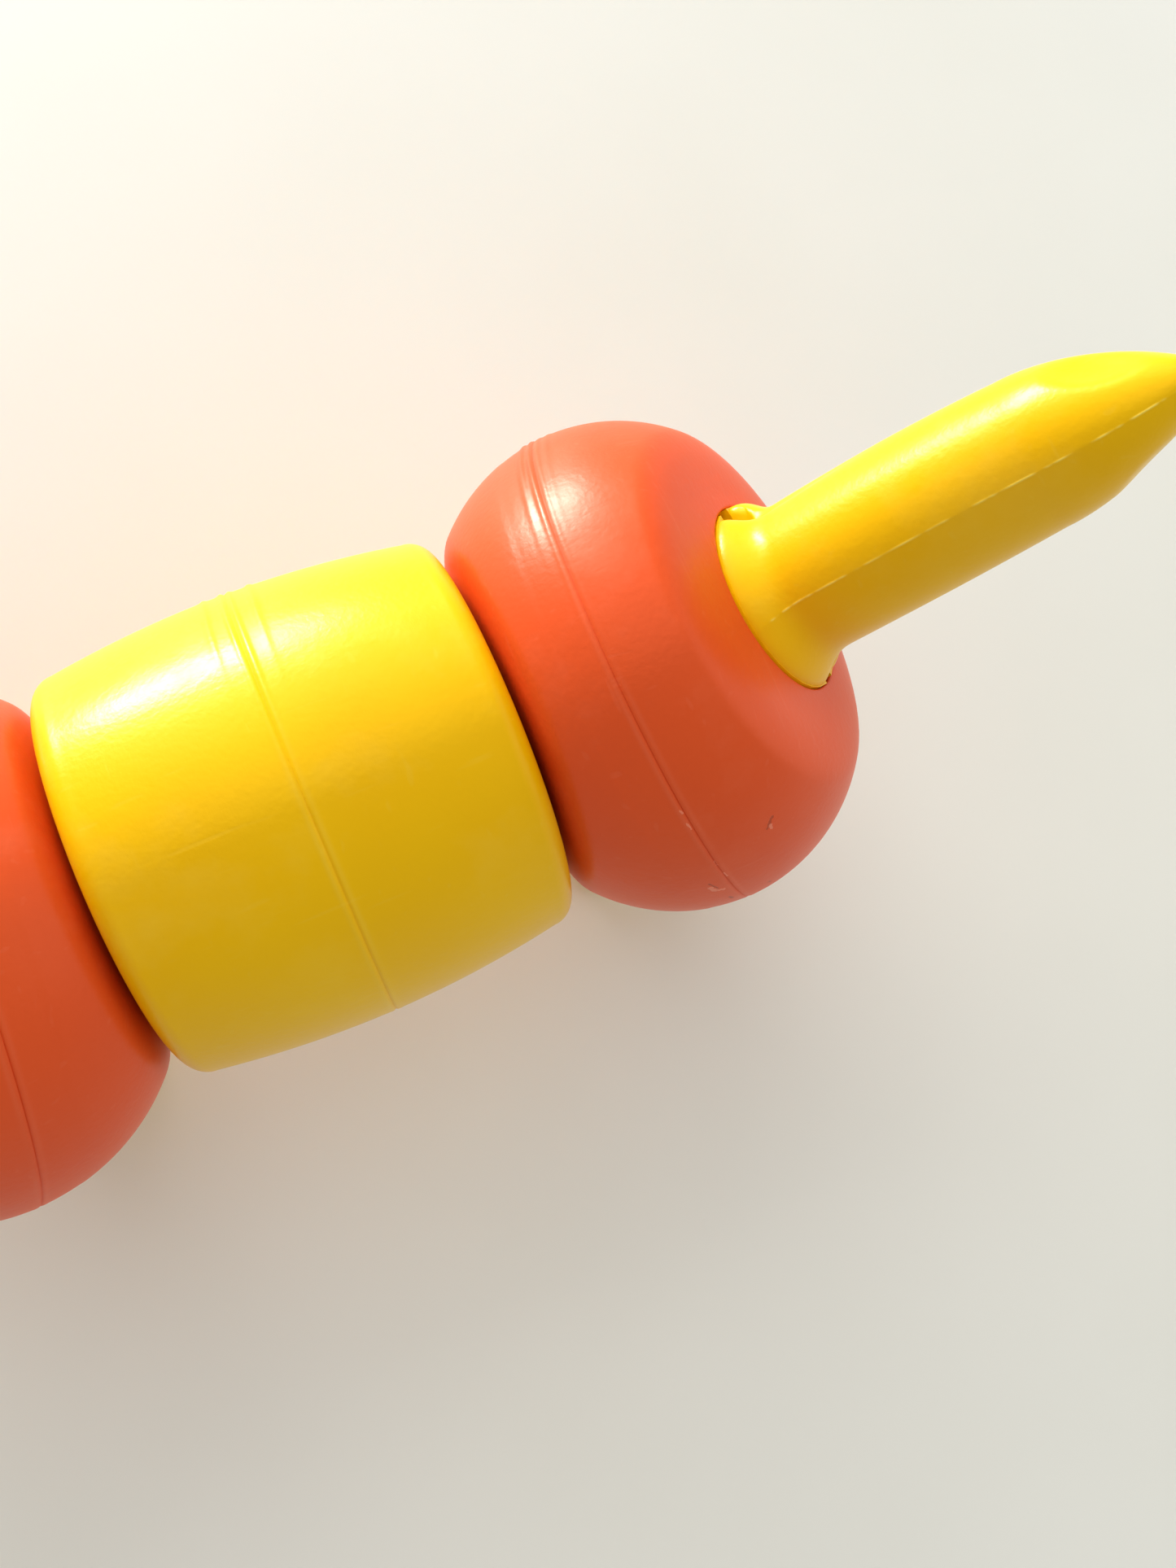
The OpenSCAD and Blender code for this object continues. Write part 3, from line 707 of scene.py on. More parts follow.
def socket(side, place):
    """A short socket whose wall flares into the bead above it."""
    spin, _ = circle(96)
    axis = np.array([-LEG_SET_BACK, side * LEG_SPREAD, 0])

    def bead_height(radius, sunk):
        """Lowest height of the bead's skin at a distance from the socket's axis."""
        z = -BEAD_R + 3.0
        for _ in range(SKIN_STEPS):
            p = ring(spin, radius, z) + axis
            d = unit(p)
            short = np.linalg.norm(p, axis=1) - (bead_reach(d, 0) - sunk)
            z = z + 0.9 * short / np.maximum(-d[:, 2], 0.3)
        return z

    foot = bead_height(SOCKET_R + SOCKET_FLARE, SOCKET_LAP)
    bend = bead_height(SOCKET_R, 0)
    rings = []
    low = -SOCKET_DROP
    wall_top = np.minimum(bend - SOCKET_FLARE * 0.8, low + (bend - low) * 0.6)
    wall_top = np.maximum(wall_top, low + SOCKET_ROUND)
    for s in np.linspace(0, 1, 12):
        radius = curve(SOCKET_R + SOCKET_FLARE, SOCKET_R, SOCKET_R, s)
        rings.append(ring(spin, radius, curve(foot, bend, wall_top, s)) + axis)
    inner = SOCKET_R - WALL
    for r, h in rounded([
        (SOCKET_R, low + SOCKET_ROUND + 0.01, 0), (SOCKET_R, low, SOCKET_ROUND), (LEG_PORT_R, low, 0.3),
        (LEG_PORT_R, low + WALL, 0.2), (inner, low + WALL, 0.3), (inner, low + 2.5 * WALL, 0),
    ], closed=False)[1:]:
        rings.append(ring(spin, r, h) + axis)
    rings.append(ring(spin, inner, np.maximum(bead_height(inner, WALL), low + 3 * WALL)) + axis)
    points, faces = skin(rings, closed=True)
    return to_world(points, *place), faces


# Beads

# How much lower the inner half's edge lies
SEAM_STEP = 0.05
# Distance of each half's shorter ridge from the seam
OUTER_SECOND = 1.7
INNER_SECOND = 1.9


def make_bead(body, outer_node, inner_node, place, seed, crest):
    shell, gaps = open_shell(
        bead_reach, OUTER_PORT, PORT_REACH, BEAD_AXIS, BEAD_R,
        lambda gap, turn: weld_relief(gap, turn, seed, crest, OUTER_SECOND) / 2)
    make_piece(outer_node, moved([shell], *place), body, ORANGE, [outer_node],
               **seam_marks(gaps, SHELL_COLUMNS, seed))
    parts, gaps = plugged_shell(
        bead_reach, INNER_PORT, PORT_REACH, -BEAD_AXIS, BEAD_R,
        lambda gap, turn: weld_relief(gap, turn, seed + 3, np.pi - crest, INNER_SECOND) - SEAM_STEP)
    shell = make_piece(inner_node, moved(parts, *place), body, ORANGE, [inner_node],
                       **seam_marks(gaps, SHELL_COLUMNS, seed + 3))
    holes = []
    for side in (LEFT, RIGHT):
        foot = np.array([-LEG_SET_BACK, side * LEG_SPREAD, -SOCKET_DROP + WALL])
        ends = to_world(np.array([foot, foot + SOCKET_BORE * Z]), *place)
        holes.append((ends[0], ends[1], SOCKET_R - WALL))
    cut_by_cylinders(shell, holes)
    make_piece(body + "_sockets", [socket(side, place) for side in (LEFT, RIGHT)], body, ORANGE, [])


make_bead("rump", "rump_back_shell", "rump_front_shell", (rump_centre, UPRIGHT), 0.4, np.radians(118))
make_bead("chest", "chest_front_shell", "chest_back_shell", (chest_centre, CHEST_AXES), 2.9, np.radians(242))


# Barrel

BARREL_SECOND = 3.1
BARREL_CREST = np.radians(28)
# Strength of the painted shade in the barrel's seam grooves
BARREL_GROOVE_SHADE = 0.6


def barrel_half(direction, seed, crest):
    """One half of the barrel, with its rings' distances from the seam."""
    columns = 224
    spin, turn = circle(columns)
    half = BARREL_LEN / 2
    rim_z = half - END_DOME
    side_z = rim_z - RIM_ROUND
    dome = [(PORT_R + LIP + s * (BARREL_RIM_R - RIM_ROUND - PORT_R - LIP), half - END_DOME * s ** 2)
            for s in np.linspace(0, 1, 8)]
    corner = [(BARREL_RIM_R - RIM_ROUND * (1 - np.sin(a)), rim_z - RIM_ROUND * (1 - np.cos(a)))
              for a in np.linspace(0, np.pi / 2, 12)[1:]]

    def side_r(z):
        return BARREL_RIM_R + (BARREL_MID_R - BARREL_RIM_R) * (1 - (z / side_z) ** 2)

    side = [(side_r(z), z) for z in np.linspace(side_z, SEAM_GAPS[0], 24)[1:]]
    seam = [(side_r(z), z) for z in SEAM_GAPS[1:]]
    inside = rounded([
        (side_r(0) - WALL, 0, 0), (side_r(side_z / 2) - WALL, side_z / 2, 0),
        (BARREL_RIM_R - WALL, side_z, 1), (BARREL_RIM_R - RIM_ROUND, half - WALL - END_DOME, 1),
        (PORT_R, half - WALL, 0)], closed=False)
    profile = lip_profile(half)[:-1] + dome + corner + side + seam
    rings = []
    for r, z in profile:
        lift = weld_relief(z, turn, seed, crest, BARREL_SECOND) if z <= SEAM_GAPS[0] else 0
        rings.append(ring(spin, r + lift, z))
    points, faces = skin(rings + revolve(inside, columns), closed=True)
    axes = np.array([Y, np.cross(X * direction, Y), X * direction])
    gaps = [z for _, z in profile] + [FAR] * len(inside)
    return (to_world(points, barrel_centre, axes), faces), gaps, columns


for barrel_node, direction, seed in (("barrel_front_shell", -1, 1.3), ("barrel_back_shell", 1, 4.6)):
    part, gaps, columns = barrel_half(direction, seed, direction * BARREL_CREST)
    make_piece(barrel_node, [part], "barrel", YELLOW, [barrel_node],
               **seam_marks(gaps, columns, seed, BARREL_GROOVE_SHADE))


# Tail. Its local Z is the port's axis, its top faces -X and its slot opens at both sides.

FOOT_H = 6.5
SEAM_TURN = np.radians(2.5)
LOBE_H = 0.6
LOBE_TURN = np.radians(66)
LOBE_SPREAD = 0.3
LOBE_RISE = 1.6
SLOT_EDGE = 1.65
SLOT_DEPTH = 7.0
SLOT_FADE = 0.3
FOOT_SLOT_H = 2.2
GROOVE_LEN = 22
GROOVE_DEPTH = 1.0
GROOVE_BLEND = 0.5
TAIL_CURL = 6.5
TAIL_LEAN = 0.33
DISH_R = 22
DISH_DEPTH = {LEFT: 0.5, RIGHT: 1.1}
DISH_BACK = 10.5
DISH_TURN = np.radians(72)
DISH_LEAN = np.radians(22)
DISH_BLEND = 0.6
KEEL_H = 0.3
KEEL_W = 2.0
KEEL_ROUND = 0.02
FLASH_H = 0.05
FLASH_W = 0.11
FLASH_START = 2
# Start and lengths of the waves that break up the flash
FLASH_LEAD = 1.5
LONG_BREAK = 2.3
SHORT_BREAK = 0.8
TAIL_COLUMNS = 288
# How much the columns crowd towards the flash
TAIL_CROWDING = 0.35
# Painted shade in the slot at the foot: its strength, and the height where it fades
TAIL_SLOT_SHADE = 0.9
TAIL_SLOT_SHADE_H = 3.0
# The foot's underside closes on this small circle
BASE_R = 6
BASE_DROP = 0.3


def tail_radius(z):
    """Half width of the tail at a height, before its slot, dishes and flash."""
    body_len = TAIL_LEN - TAIL_TIP_LEN
    if z < FOOT_H:
        share = (1 - z / FOOT_H) ** 1.5
        return TAIL_R + (PORT_R - FIT_GAP - TAIL_R) * share ** 2 * (3 - 2 * share)
    if z <= body_len:
        return TAIL_R - (TAIL_R - TAIL_TIP_R) * ((z - FOOT_H) / (body_len - FOOT_H)) ** 2.4
    return TAIL_TIP_R * (1 - ((z - body_len) / TAIL_TIP_LEN) ** 1.8) ** 0.8


def tail_shift(z):
    """How far the tail's middle has curled along -X and leans along +Y at a height."""
    curl = TAIL_CURL * (max(z - FOOT_H, 0) / (TAIL_LEN - FOOT_H)) ** 2.6
    return np.array([-curl, TAIL_LEAN * min(z / FOOT_H, 1), 0])


def slotted(radius, z, turn):
    """The tail's radius with its slot, which cuts the foot and fades to a groove up each side, and how far
    each point lies in the slot."""
    off = radius * np.cos(turn + SEAM_TURN * (1.5 - 0.5 * np.sin(turn)))
    in_slot = np.exp(-(off / SLOT_EDGE) ** 4)
    in_groove = np.exp(-(off / SLOT_EDGE) ** 2)
    slot_depth = SLOT_DEPTH / (1 + np.exp((z - FOOT_SLOT_H - SLOT_FADE) / SLOT_FADE))
    fade = max(1 - z / GROOVE_LEN, 0)
    groove_depth = GROOVE_DEPTH * fade + (radius - TAIL_R) * (z < FOOT_H)
    return radius - soft_max(in_slot * slot_depth, in_groove * groove_depth, GROOVE_BLEND), in_slot


def tail_flash(z, turn):
    """Height of the low keel along the tail's parting line with its broken flash, and the flash alone."""
    beside = tail_radius(z) * np.sin(turn + SEAM_TURN)
    along = z + FLASH_LEAD
    broken = waver(along / LONG_BREAK, 4.0) * waver(along / SHORT_BREAK, 5.2)
    line = hump(beside, 0, FLASH_W) * np.clip(4.5 * (broken - 0.12), 0.0, 1) * (z > FLASH_START)
    keel = KEEL_H * np.exp(-np.sqrt(beside ** 2 + KEEL_ROUND) / KEEL_W)
    return keel * min(z / FOOT_SLOT_H, 1) + FLASH_H * line, line


def dished(points):
    """Points of the tail, pressed in where thumb dishes pinch its tip on both sides."""
    dish_z = TAIL_LEN - DISH_BACK
    for side in (LEFT, RIGHT):
        out = np.array([-np.cos(DISH_TURN), side * np.sin(DISH_TURN), 0])
        press = np.cos(DISH_LEAN) * out + np.sin(DISH_LEAN) * Z
        hub = out * tail_radius(dish_z) + dish_z * Z + (DISH_R - DISH_DEPTH[side]) * press
        across = points - hub
        height = across @ press
        room = DISH_R ** 2 - ((across - height[:, None] * press) ** 2).sum(1)
        limit = np.where(room > 0, -np.sqrt(np.maximum(room, 0)), FAR)
        sink = (height - soft_min(height, limit, DISH_BLEND))[:, None] * press
        points = points - sink * (points @ out > 0)[:, None]
    return points


def make_tail():
    body_len = TAIL_LEN - TAIL_TIP_LEN
    _, even = circle(TAIL_COLUMNS)
    turn = even - TAIL_CROWDING * np.sin(2 * even)
    spin = np.column_stack([np.cos(turn), np.sin(turn)])
    heights = np.concatenate([
        np.linspace(0, FOOT_H, 27), np.linspace(FOOT_H + 0.6, body_len, 44),
        body_len + TAIL_TIP_LEN * np.sin(np.linspace(0, np.pi / 2, 54)[1:-1])])
    rings, flash, painted_shade = [], [], []
    for z in heights:
        lobe = LOBE_H * hump(turn, LOBE_TURN, LOBE_SPREAD) * hump(z, FOOT_SLOT_H, LOBE_RISE)
        radius, in_slot = slotted(tail_radius(z) + lobe, z, turn)
        proud, line = tail_flash(z, turn)
        rings.append(dished(ring(spin, radius + proud, z)) + tail_shift(z))
        flash.append(line)
        # Painted shade darkens the slot where it opens at the foot
        painted_shade.append(in_slot / (1 + np.exp(z - TAIL_SLOT_SHADE_H)) * TAIL_SLOT_SHADE)
    part = skin([ring(spin, BASE_R, -BASE_DROP), *rings])
    fingers = prongs(gaps=[np.pi / 2 - SEAM_TURN, 3 * np.pi / 2 - 2 * SEAM_TURN], **PLUG_LARGE)
    fingers = moved(fingers, *DOWNWARDS)
    x_axis = unit(np.cross(Y, tail_axis))
    x_turned = np.cos(TAIL_TURN) * x_axis + np.sin(TAIL_TURN) * Y
    y_turned = -np.sin(TAIL_TURN) * x_axis + np.cos(TAIL_TURN) * Y
    parts = moved([part, *fingers], tail_face, np.array([x_turned, y_turned, tail_axis]))
    clean = np.zeros((1, TAIL_COLUMNS))
    make_piece("tail", parts, "tail", YELLOW, ["tail"],
               painted_shade=np.vstack([clean, painted_shade]), flash=np.vstack([clean, flash]))


make_tail()


# Legs

LEG_H = 24
CUFF_H = 4
CUFF_R = 9
CUFF_BEVEL = 0.8
ANKLE_R = 6.8
HEEL_R = 9.5
HEEL_Z = 6.8
TOE_R = 4.4
TOE_Z = 3.7
TOE_REACH = 8.8
TOE_FAN = np.radians(38)
FOOT_CENTRE = np.array([0, 0, 5.5])
ANKLE_BLEND = 2.6
TOE_BLEND = 1.0
SOLE_BLEND = 1.1
ANKLE_TOP = 17.4
LEG_COLUMNS = 112


def sphere_reach(directions, centre, radius):
    """Distance to a sphere's far side, or 0 past its edge."""
    along = directions @ centre
    room = along ** 2 - centre @ centre + radius ** 2
    return np.where(room > 0, along + np.sqrt(np.maximum(room, 0)), 0)


def leg_rings():
    """Rings from the middle of the sole up to the plug's root."""
    spin, _ = circle(LEG_COLUMNS)
    rings = []
    for polar in np.radians(np.concatenate([np.linspace(178, 120, 26), np.linspace(119, 30, 56)])):
        d = ring(spin, np.sin(polar), np.cos(polar))
        t = sphere_reach(d, HEEL_Z * Z - FOOT_CENTRE, HEEL_R)
        ankle = ANKLE_R / max(np.sin(polar), 0.05)
        if polar < np.pi / 2:
            t = soft_max(t, np.full(LEG_COLUMNS, ankle), ANKLE_BLEND)
        for fan in (-TOE_FAN, 0, TOE_FAN):
            toe = np.array([-TOE_REACH * np.cos(fan), TOE_REACH * np.sin(fan), TOE_Z]) - FOOT_CENTRE
            t = soft_max(t, sphere_reach(d, toe, TOE_R), TOE_BLEND)
        if polar > np.pi / 2 + 0.05:
            t = soft_min(t, np.full(LEG_COLUMNS, -FOOT_CENTRE[2] / np.cos(polar)), SOLE_BLEND)
        rings.append(FOOT_CENTRE + d * t[:, None])
    low = LEG_H - CUFF_H
    neck_r = LEG_PORT_R - FIT_GAP
    tube_r = neck_r - PLUG_LEG["thick"]
    top = rounded([
        (ANKLE_R, ANKLE_TOP, 0), (ANKLE_R, low - CUFF_BEVEL, 0.9), (CUFF_R, low + CUFF_BEVEL, 0.6),
        (CUFF_R, LEG_H, CUFF_BEVEL), (neck_r, LEG_H, 0.3), (neck_r, LEG_H + FACE_GAP, 0),
        (tube_r, LEG_H + FACE_GAP, 0), (tube_r, LEG_H - 2, 0)], closed=False)
    return rings + revolve(top, LEG_COLUMNS)


LEG_SKIN = skin(leg_rings())
for leg in ("front_left_leg", "front_right_leg", "rear_left_leg", "rear_right_leg"):
    foot = joint_place(leg + "_swivel")[0] - (LEG_H + FACE_GAP) * Z
    fingers = moved(prongs(gaps=QUARTERS, **PLUG_LEG), (LEG_H + FACE_GAP) * Z, UPRIGHT)
    make_piece(leg, moved([LEG_SKIN, *fingers], foot, UPRIGHT), leg, YELLOW, [leg])


# Head

MUZZLE_DROP = 5
MUZZLE_ROOT_R = 18
MUZZLE_END_R = 14.5
MUZZLE_REACH = 50
MUZZLE_ROUND = 12
MUZZLE_FILLET = 6.5
MUZZLE_COLUMNS = 208
EAR_BORE = 8
EAR_CLEAR = 3
SEAT_REACH = 16
SEAT_BLEND = 1.6
EYE_SEAT_REACH = 8
EYE_SEAT_BLEND = 0.25
NOSE_SEAT_BLEND = 0.3
HEAD_SECOND = 2.2
FRONT_SEED = 5.1
BACK_SEED = 1.1
# Strength of the painted shade in the head's seam grooves
HEAD_GROOVE_SHADE = 0.5
FRONT_CREST = np.radians(45)
BACK_CREST = np.radians(135)
NOSE_SEAT = 1.9
NOSE_TILT = np.radians(24)
NOSE_R = 6.5
NOSE_H = 6
EYE_BACK = np.radians(42)
EYE_TURN = np.radians(32)
EYE_SEAT = 0.4
EYE_R = 4.2
EYE_H = 2.8
PIN_R = 2
PIN_LEN = 5


def eye_place(side):
    """Centre and axes of an eye's seat, from the skull's centre. The last axis points out."""
    r = HEAD_R * np.sin(EYE_BACK) ** (2 / HEAD_FULLNESS)
    out = np.array([0, np.sin(side * EYE_TURN), np.cos(EYE_TURN)])
    point = r * out - HEAD_HALF * np.cos(EYE_BACK) * X
    rise = HEAD_FULLNESS * np.sin(EYE_BACK) ** (2 - 2 / HEAD_FULLNESS) / HEAD_R
    normal = unit(rise * out - 2 * np.cos(EYE_BACK) / HEAD_HALF * X)
    across = unit(np.cross(normal, out))
    return point - EYE_SEAT * normal, np.array([across, np.cross(normal, across), normal])


def nose_place():
    """Centre and axes of the nose's seat, in the same way."""
    out = np.array([-np.cos(NOSE_TILT), 0, np.sin(NOSE_TILT)])
    ball = np.array([-(MUZZLE_REACH - MUZZLE_ROUND), 0, MUZZLE_END_R - MUZZLE_ROUND - MUZZLE_DROP])
    return ball + (MUZZLE_ROUND - NOSE_SEAT) * out, np.array([Y, np.cross(out, Y), out])


def ear_seats():
    """Each ear seat from the skull's centre, with its normal."""
    places = [joint_place("left_ear_swivel"), joint_place("right_ear_swivel")]
    return [(point - skull_centre, normal) for point, normal in places]


def pressed_seats(points):
    """The skull's skin with its seats for the ears and eyes."""
    for origin, normal in ear_seats():
        points = flattened(points, origin, normal, SEAT_BLEND, within=SEAT_REACH)
    for side in (LEFT, RIGHT):
        origin, axes = eye_place(side)
        points = flattened(points, origin, axes[2], EYE_SEAT_BLEND, within=EYE_SEAT_REACH)
    return points


def head_front():
    """The skull's front half as rings round the muzzle's axis, with their distances from the seam."""
    columns = MUZZLE_COLUMNS
    _, turn = circle(columns)
    hub = -MUZZLE_DROP * Z
    spoke = np.column_stack([np.zeros(columns), np.sin(turn), np.cos(turn)])
    neck_x = -(MUZZLE_REACH - MUZZLE_ROUND)

    def at(x, radius):
        return hub + np.reshape(x, (-1, 1)) * X + spoke * np.reshape(radius, (-1, 1))

    def off_axis(radius):
        """Distance from the skull's axis, from that to the muzzle's."""
        return np.hypot(radius * np.sin(turn), radius * np.cos(turn) - MUZZLE_DROP)

    def skull_x(radius):
        share = np.clip(off_axis(radius) / HEAD_R, 0, 1)
        return -HEAD_HALF * np.sqrt(np.maximum(1 - share ** HEAD_FULLNESS, 0))

    def muzzle_r(x):
        return MUZZLE_ROOT_R - (MUZZLE_ROOT_R - MUZZLE_END_R) * x / neck_x

    # Where each spoke of the muzzle meets the skull
    corner = np.full(columns, -25.0)
    for _ in range(SKIN_STEPS):
        corner = skull_x(muzzle_r(corner))
    rings = [at(-MUZZLE_REACH, r) for r in np.linspace(0.4, MUZZLE_END_R - MUZZLE_ROUND, 3)]
    for a in np.linspace(0, np.pi / 2, 22)[1:]:
        rings.append(at(neck_x - MUZZLE_ROUND * np.cos(a), MUZZLE_END_R - MUZZLE_ROUND * (1 - np.sin(a))))
    start_x = corner - MUZZLE_FILLET
    for s in np.linspace(0, 1, 12)[1:]:
        x = neck_x * (1 - s) + start_x * s
        rings.append(at(x, muzzle_r(x)))
    first_r = muzzle_r(start_x)
    bend_r = muzzle_r(corner)
    last_r = bend_r + MUZZLE_FILLET * 0.8
    last_x = skull_x(last_r)
    for s in np.linspace(0, 1, 14)[1:]:
        rings.append(at(curve(start_x, corner, last_x, s), curve(first_r, bend_r, last_r, s)))
    # Over the skull, up to the seam's first ring
    angle = np.arccos(np.clip(-last_x / HEAD_HALF, -1, 1))
    far = np.arccos(SEAM_GAPS[0] / HEAD_HALF)

    def on_skull(x, radius, lift=0):
        """Where each spoke meets a circle round the skull's axis."""
        room = np.maximum(radius ** 2 - (MUZZLE_DROP * np.sin(turn)) ** 2, 0)
        reach = MUZZLE_DROP * np.cos(turn) + np.sqrt(room)
        points = at(x, reach)
        away = unit(points * [0, 1, 1])
        return points + away * np.reshape(lift * np.ones(columns), (-1, 1))

    for s in np.linspace(0, 1, 30)[1:]:
        a = angle + (far - angle) * s
        rings.append(on_skull(-HEAD_HALF * np.cos(a), HEAD_R * np.sin(a) ** (2 / HEAD_FULLNESS)))
    gaps = [FAR] * len(rings)
    for gap in SEAM_GAPS[1:]:
        radius = HEAD_R * (1 - (gap / HEAD_HALF) ** 2) ** (1 / HEAD_FULLNESS)
        rings.append(on_skull(-gap, radius, weld_relief(gap, turn, FRONT_SEED, FRONT_CREST, HEAD_SECOND)))
        gaps.append(gap)
    outer = pressed_seats(np.array(rings))
    origin, axes = nose_place()
    outer = flattened(outer, origin, axes[2], NOSE_SEAT_BLEND)
    inner_half = HEAD_HALF - WALL
    inner = [on_skull(-x, (HEAD_R - WALL) * (1 - (x / inner_half) ** 2) ** (1 / HEAD_FULLNESS))
             for x in np.linspace(0, 0.9 * inner_half, 14)]
    inner.append(at(-0.93 * inner_half, 4.0))
    return skin(list(outer) + inner), gaps + [FAR] * len(inner)


def make_head():
    part, gaps = head_front()
    make_piece("head_front_shell", moved([part], skull_centre, UPRIGHT), "head", YELLOW,
               ["head_front_shell"], **seam_marks(gaps, MUZZLE_COLUMNS, FRONT_SEED, HEAD_GROOVE_SHADE))
    parts, gaps = plugged_shell(
        skull_reach, SKULL_NECK, NECK_REACH, X, HEAD_R,
        lambda gap, turn: weld_relief(gap, turn, BACK_SEED, BACK_CREST, HEAD_SECOND))
    points, faces = parts[0]
    parts[0] = (pressed_seats(points), faces)
    back = make_piece("head_back_shell", moved(parts, skull_centre, UPRIGHT), "head", YELLOW,
                      ["head_back_shell"], **seam_marks(gaps, SHELL_COLUMNS, BACK_SEED, HEAD_GROOVE_SHADE))
    holes = []
    for seat, normal in ear_seats():
        middle = skull_centre + seat
        holes.append((middle - EAR_BORE * normal, middle + EAR_CLEAR * normal, PLUG_EAR["radius"]))
    cut_by_cylinders(back, holes)


make_head()


# Nose and eyes

BUTTON_EDGE = 0.35
PIN_CHAMFER = 0.4


def button(radius, height):
    """A domed button with a rolled edge and a pin behind it."""
    pin_r = PIN_R - FIT_GAP
    dome = [(radius * np.cos(a), height * np.sin(a)) for a in np.linspace(0.12, np.pi / 2 - 0.02, 26)]
    edge = [(radius - BUTTON_EDGE, 0.0), (radius - 0.08, 0.12)]
    pin = [(0.3, -PIN_LEN), (PIN_R - PIN_CHAMFER, -PIN_LEN), (pin_r, -PIN_LEN + PIN_CHAMFER), (pin_r, 0)]
    return skin(revolve(pin + edge + dome, 72))


def make_button(name, radius, height, origin, axes):
    parts = moved([button(radius, height)], skull_centre + origin, axes)
    make_piece(name, parts, "head", BLACK, [name])


make_button("nose", NOSE_R, NOSE_H, *nose_place())
for eye_name, side in (("left_eye", LEFT), ("right_eye", RIGHT)):
    make_button(eye_name, EYE_R, EYE_H, *eye_place(side))


# Ears

EAR_ROOT_R = 8.5
EAR_LOBE_R = 12
EAR_DROP = 21
EAR_T = 5
EAR_CROWN_R = 60
EAR_EDGE = 1.3
EAR_COLUMNS = 160
EAR_ROWS = 26


def ear_skin():
    """A hanging lobe, flat inside and crowned outside. Local Y runs down it and Z points out."""
    # Outline of the straight-sided hull round the two circles
    lean = np.arcsin((EAR_LOBE_R - EAR_ROOT_R) / EAR_DROP)
    low = np.linspace(-lean, np.pi + lean, 90)
    top = np.linspace(np.pi + lean, 2 * np.pi - lean, 40)[1:-1]
    rim = np.vstack([
        np.column_stack([np.cos(low), np.sin(low)]) * EAR_LOBE_R + [0, EAR_DROP],
        np.column_stack([np.cos(top), np.sin(top)]) * EAR_ROOT_R])
    rim = np.vstack([rim, rim[:1]])
    length = np.concatenate([[0], np.cumsum(np.linalg.norm(np.diff(rim, axis=0), axis=1))])
    even = np.linspace(0, length[-1], EAR_COLUMNS, endpoint=False)
    rim = np.column_stack([np.interp(even, length, rim[:, n]) for n in (0, 1)])
    along = np.roll(rim, -1, axis=0) - np.roll(rim, 1, axis=0)
    away = unit(np.column_stack([along[:, 1], -along[:, 0]]))
    centre = np.array([0, EAR_DROP / 2])
    depth = ((rim - centre) * away).sum(1)
    upper, lower = [], []
    # Rows from the rounded edge, where they are closest together, to the middle
    for s in 0.97 * np.linspace(0, 1, EAR_ROWS) ** 1.6:
        flat = rim + (centre - rim) * s
        inward = np.minimum(depth * s, EAR_EDGE)
        swell = np.sqrt(np.maximum(1 - (1 - inward / EAR_EDGE) ** 2, 0))
        crown = EAR_T - EAR_CROWN_R + np.sqrt(EAR_CROWN_R ** 2 - ((flat - centre) ** 2).sum(1))
        upper.append(np.column_stack([flat, crown / 2 * (1 + swell)]))
        lower.append(np.column_stack([flat, crown / 2 * (1 - swell)]))
    rings = upper[::-1] + lower[1:]
    return skin(rings)


for ear_name, side in (("left_ear", LEFT), ("right_ear", RIGHT)):
    seat, normal = joint_place(ear_name + "_swivel")
    down = side * unit(np.cross(normal, X))
    axes = np.array([np.cross(down, normal), down, normal])
    lobe = moved([ear_skin()], seat + FACE_GAP * normal, axes)
    neck_r = PLUG_EAR["radius"] - FIT_GAP
    neck = skin(revolve([(neck_r, -0.1), (neck_r, FACE_GAP + 0.3)], 48))
    fingers = moved(prongs(gaps=[0, np.pi], **PLUG_EAR), *DOWNWARDS)
    make_piece(ear_name, lobe + moved([neck, *fingers], seat, axes), ear_name, ORANGE, [ear_name])


# Camera at the photo's angle, nearly overhead

PHOTO_HEIGHT = 1927
FOCAL_PIXELS = 1700
SENSOR = 36
CAMERA_RIGHT = Vector((0.91061, -0.39806, 0.1110))
CAMERA_UP = Vector((0.37744, 0.91045, 0.1689))
CAMERA_OFFSET = Vector((3.55, -33.43, 188.23))

right = CAMERA_RIGHT.normalized()
back = right.cross(CAMERA_UP).normalized()
turned = Matrix((right, back.cross(right), back)).transposed()
camera = bpy.data.objects.new("camera", bpy.data.cameras.new("camera"))
camera.data.sensor_width = SENSOR
camera.data.lens = SENSOR * FOCAL_PIXELS / PHOTO_HEIGHT
camera.data.clip_start = 0.01
camera.matrix_world = Matrix.Translation((Vector(barrel_centre) + CAMERA_OFFSET) * MM) @ turned.to_4x4()
scene.collection.objects.link(camera)
scene.camera = camera


# Light: a low window at the dog's right with a glow above it, a doorway behind, a ceiling and a pale room

DAYLIGHT = (1.0, 0.99, 0.96)
WINDOW = {"azimuth": 97, "elevation": 12, "width": 0.36, "height": 0.045}
ROOM_COLOUR = (0.82, 0.83, 0.84, 1)
ROOM_LIGHT = 0.52
WHITE = (1, 1, 1, 1)


def area_light(name, azimuth, elevation, distance, width, height, power, colour=DAYLIGHT):
    """A soft lamp that looks at the dog. Azimuth 0 is +X and 90 is +Y."""
    a, e = np.radians([azimuth, elevation])
    away = Vector((np.cos(a) * np.cos(e), np.sin(a) * np.cos(e), np.sin(e)))
    lamp = bpy.data.lights.new(name, "AREA")
    lamp.shape = "RECTANGLE"
    lamp.size, lamp.size_y, lamp.energy, lamp.color = width, height, power, colour
    holder = bpy.data.objects.new(name, lamp)
    holder.location = Vector(barrel_centre) * MM + away * distance
    holder.rotation_mode = "QUATERNION"
    holder.rotation_quaternion = away.to_track_quat("Z", "Y")
    scene.collection.objects.link(holder)
    return holder


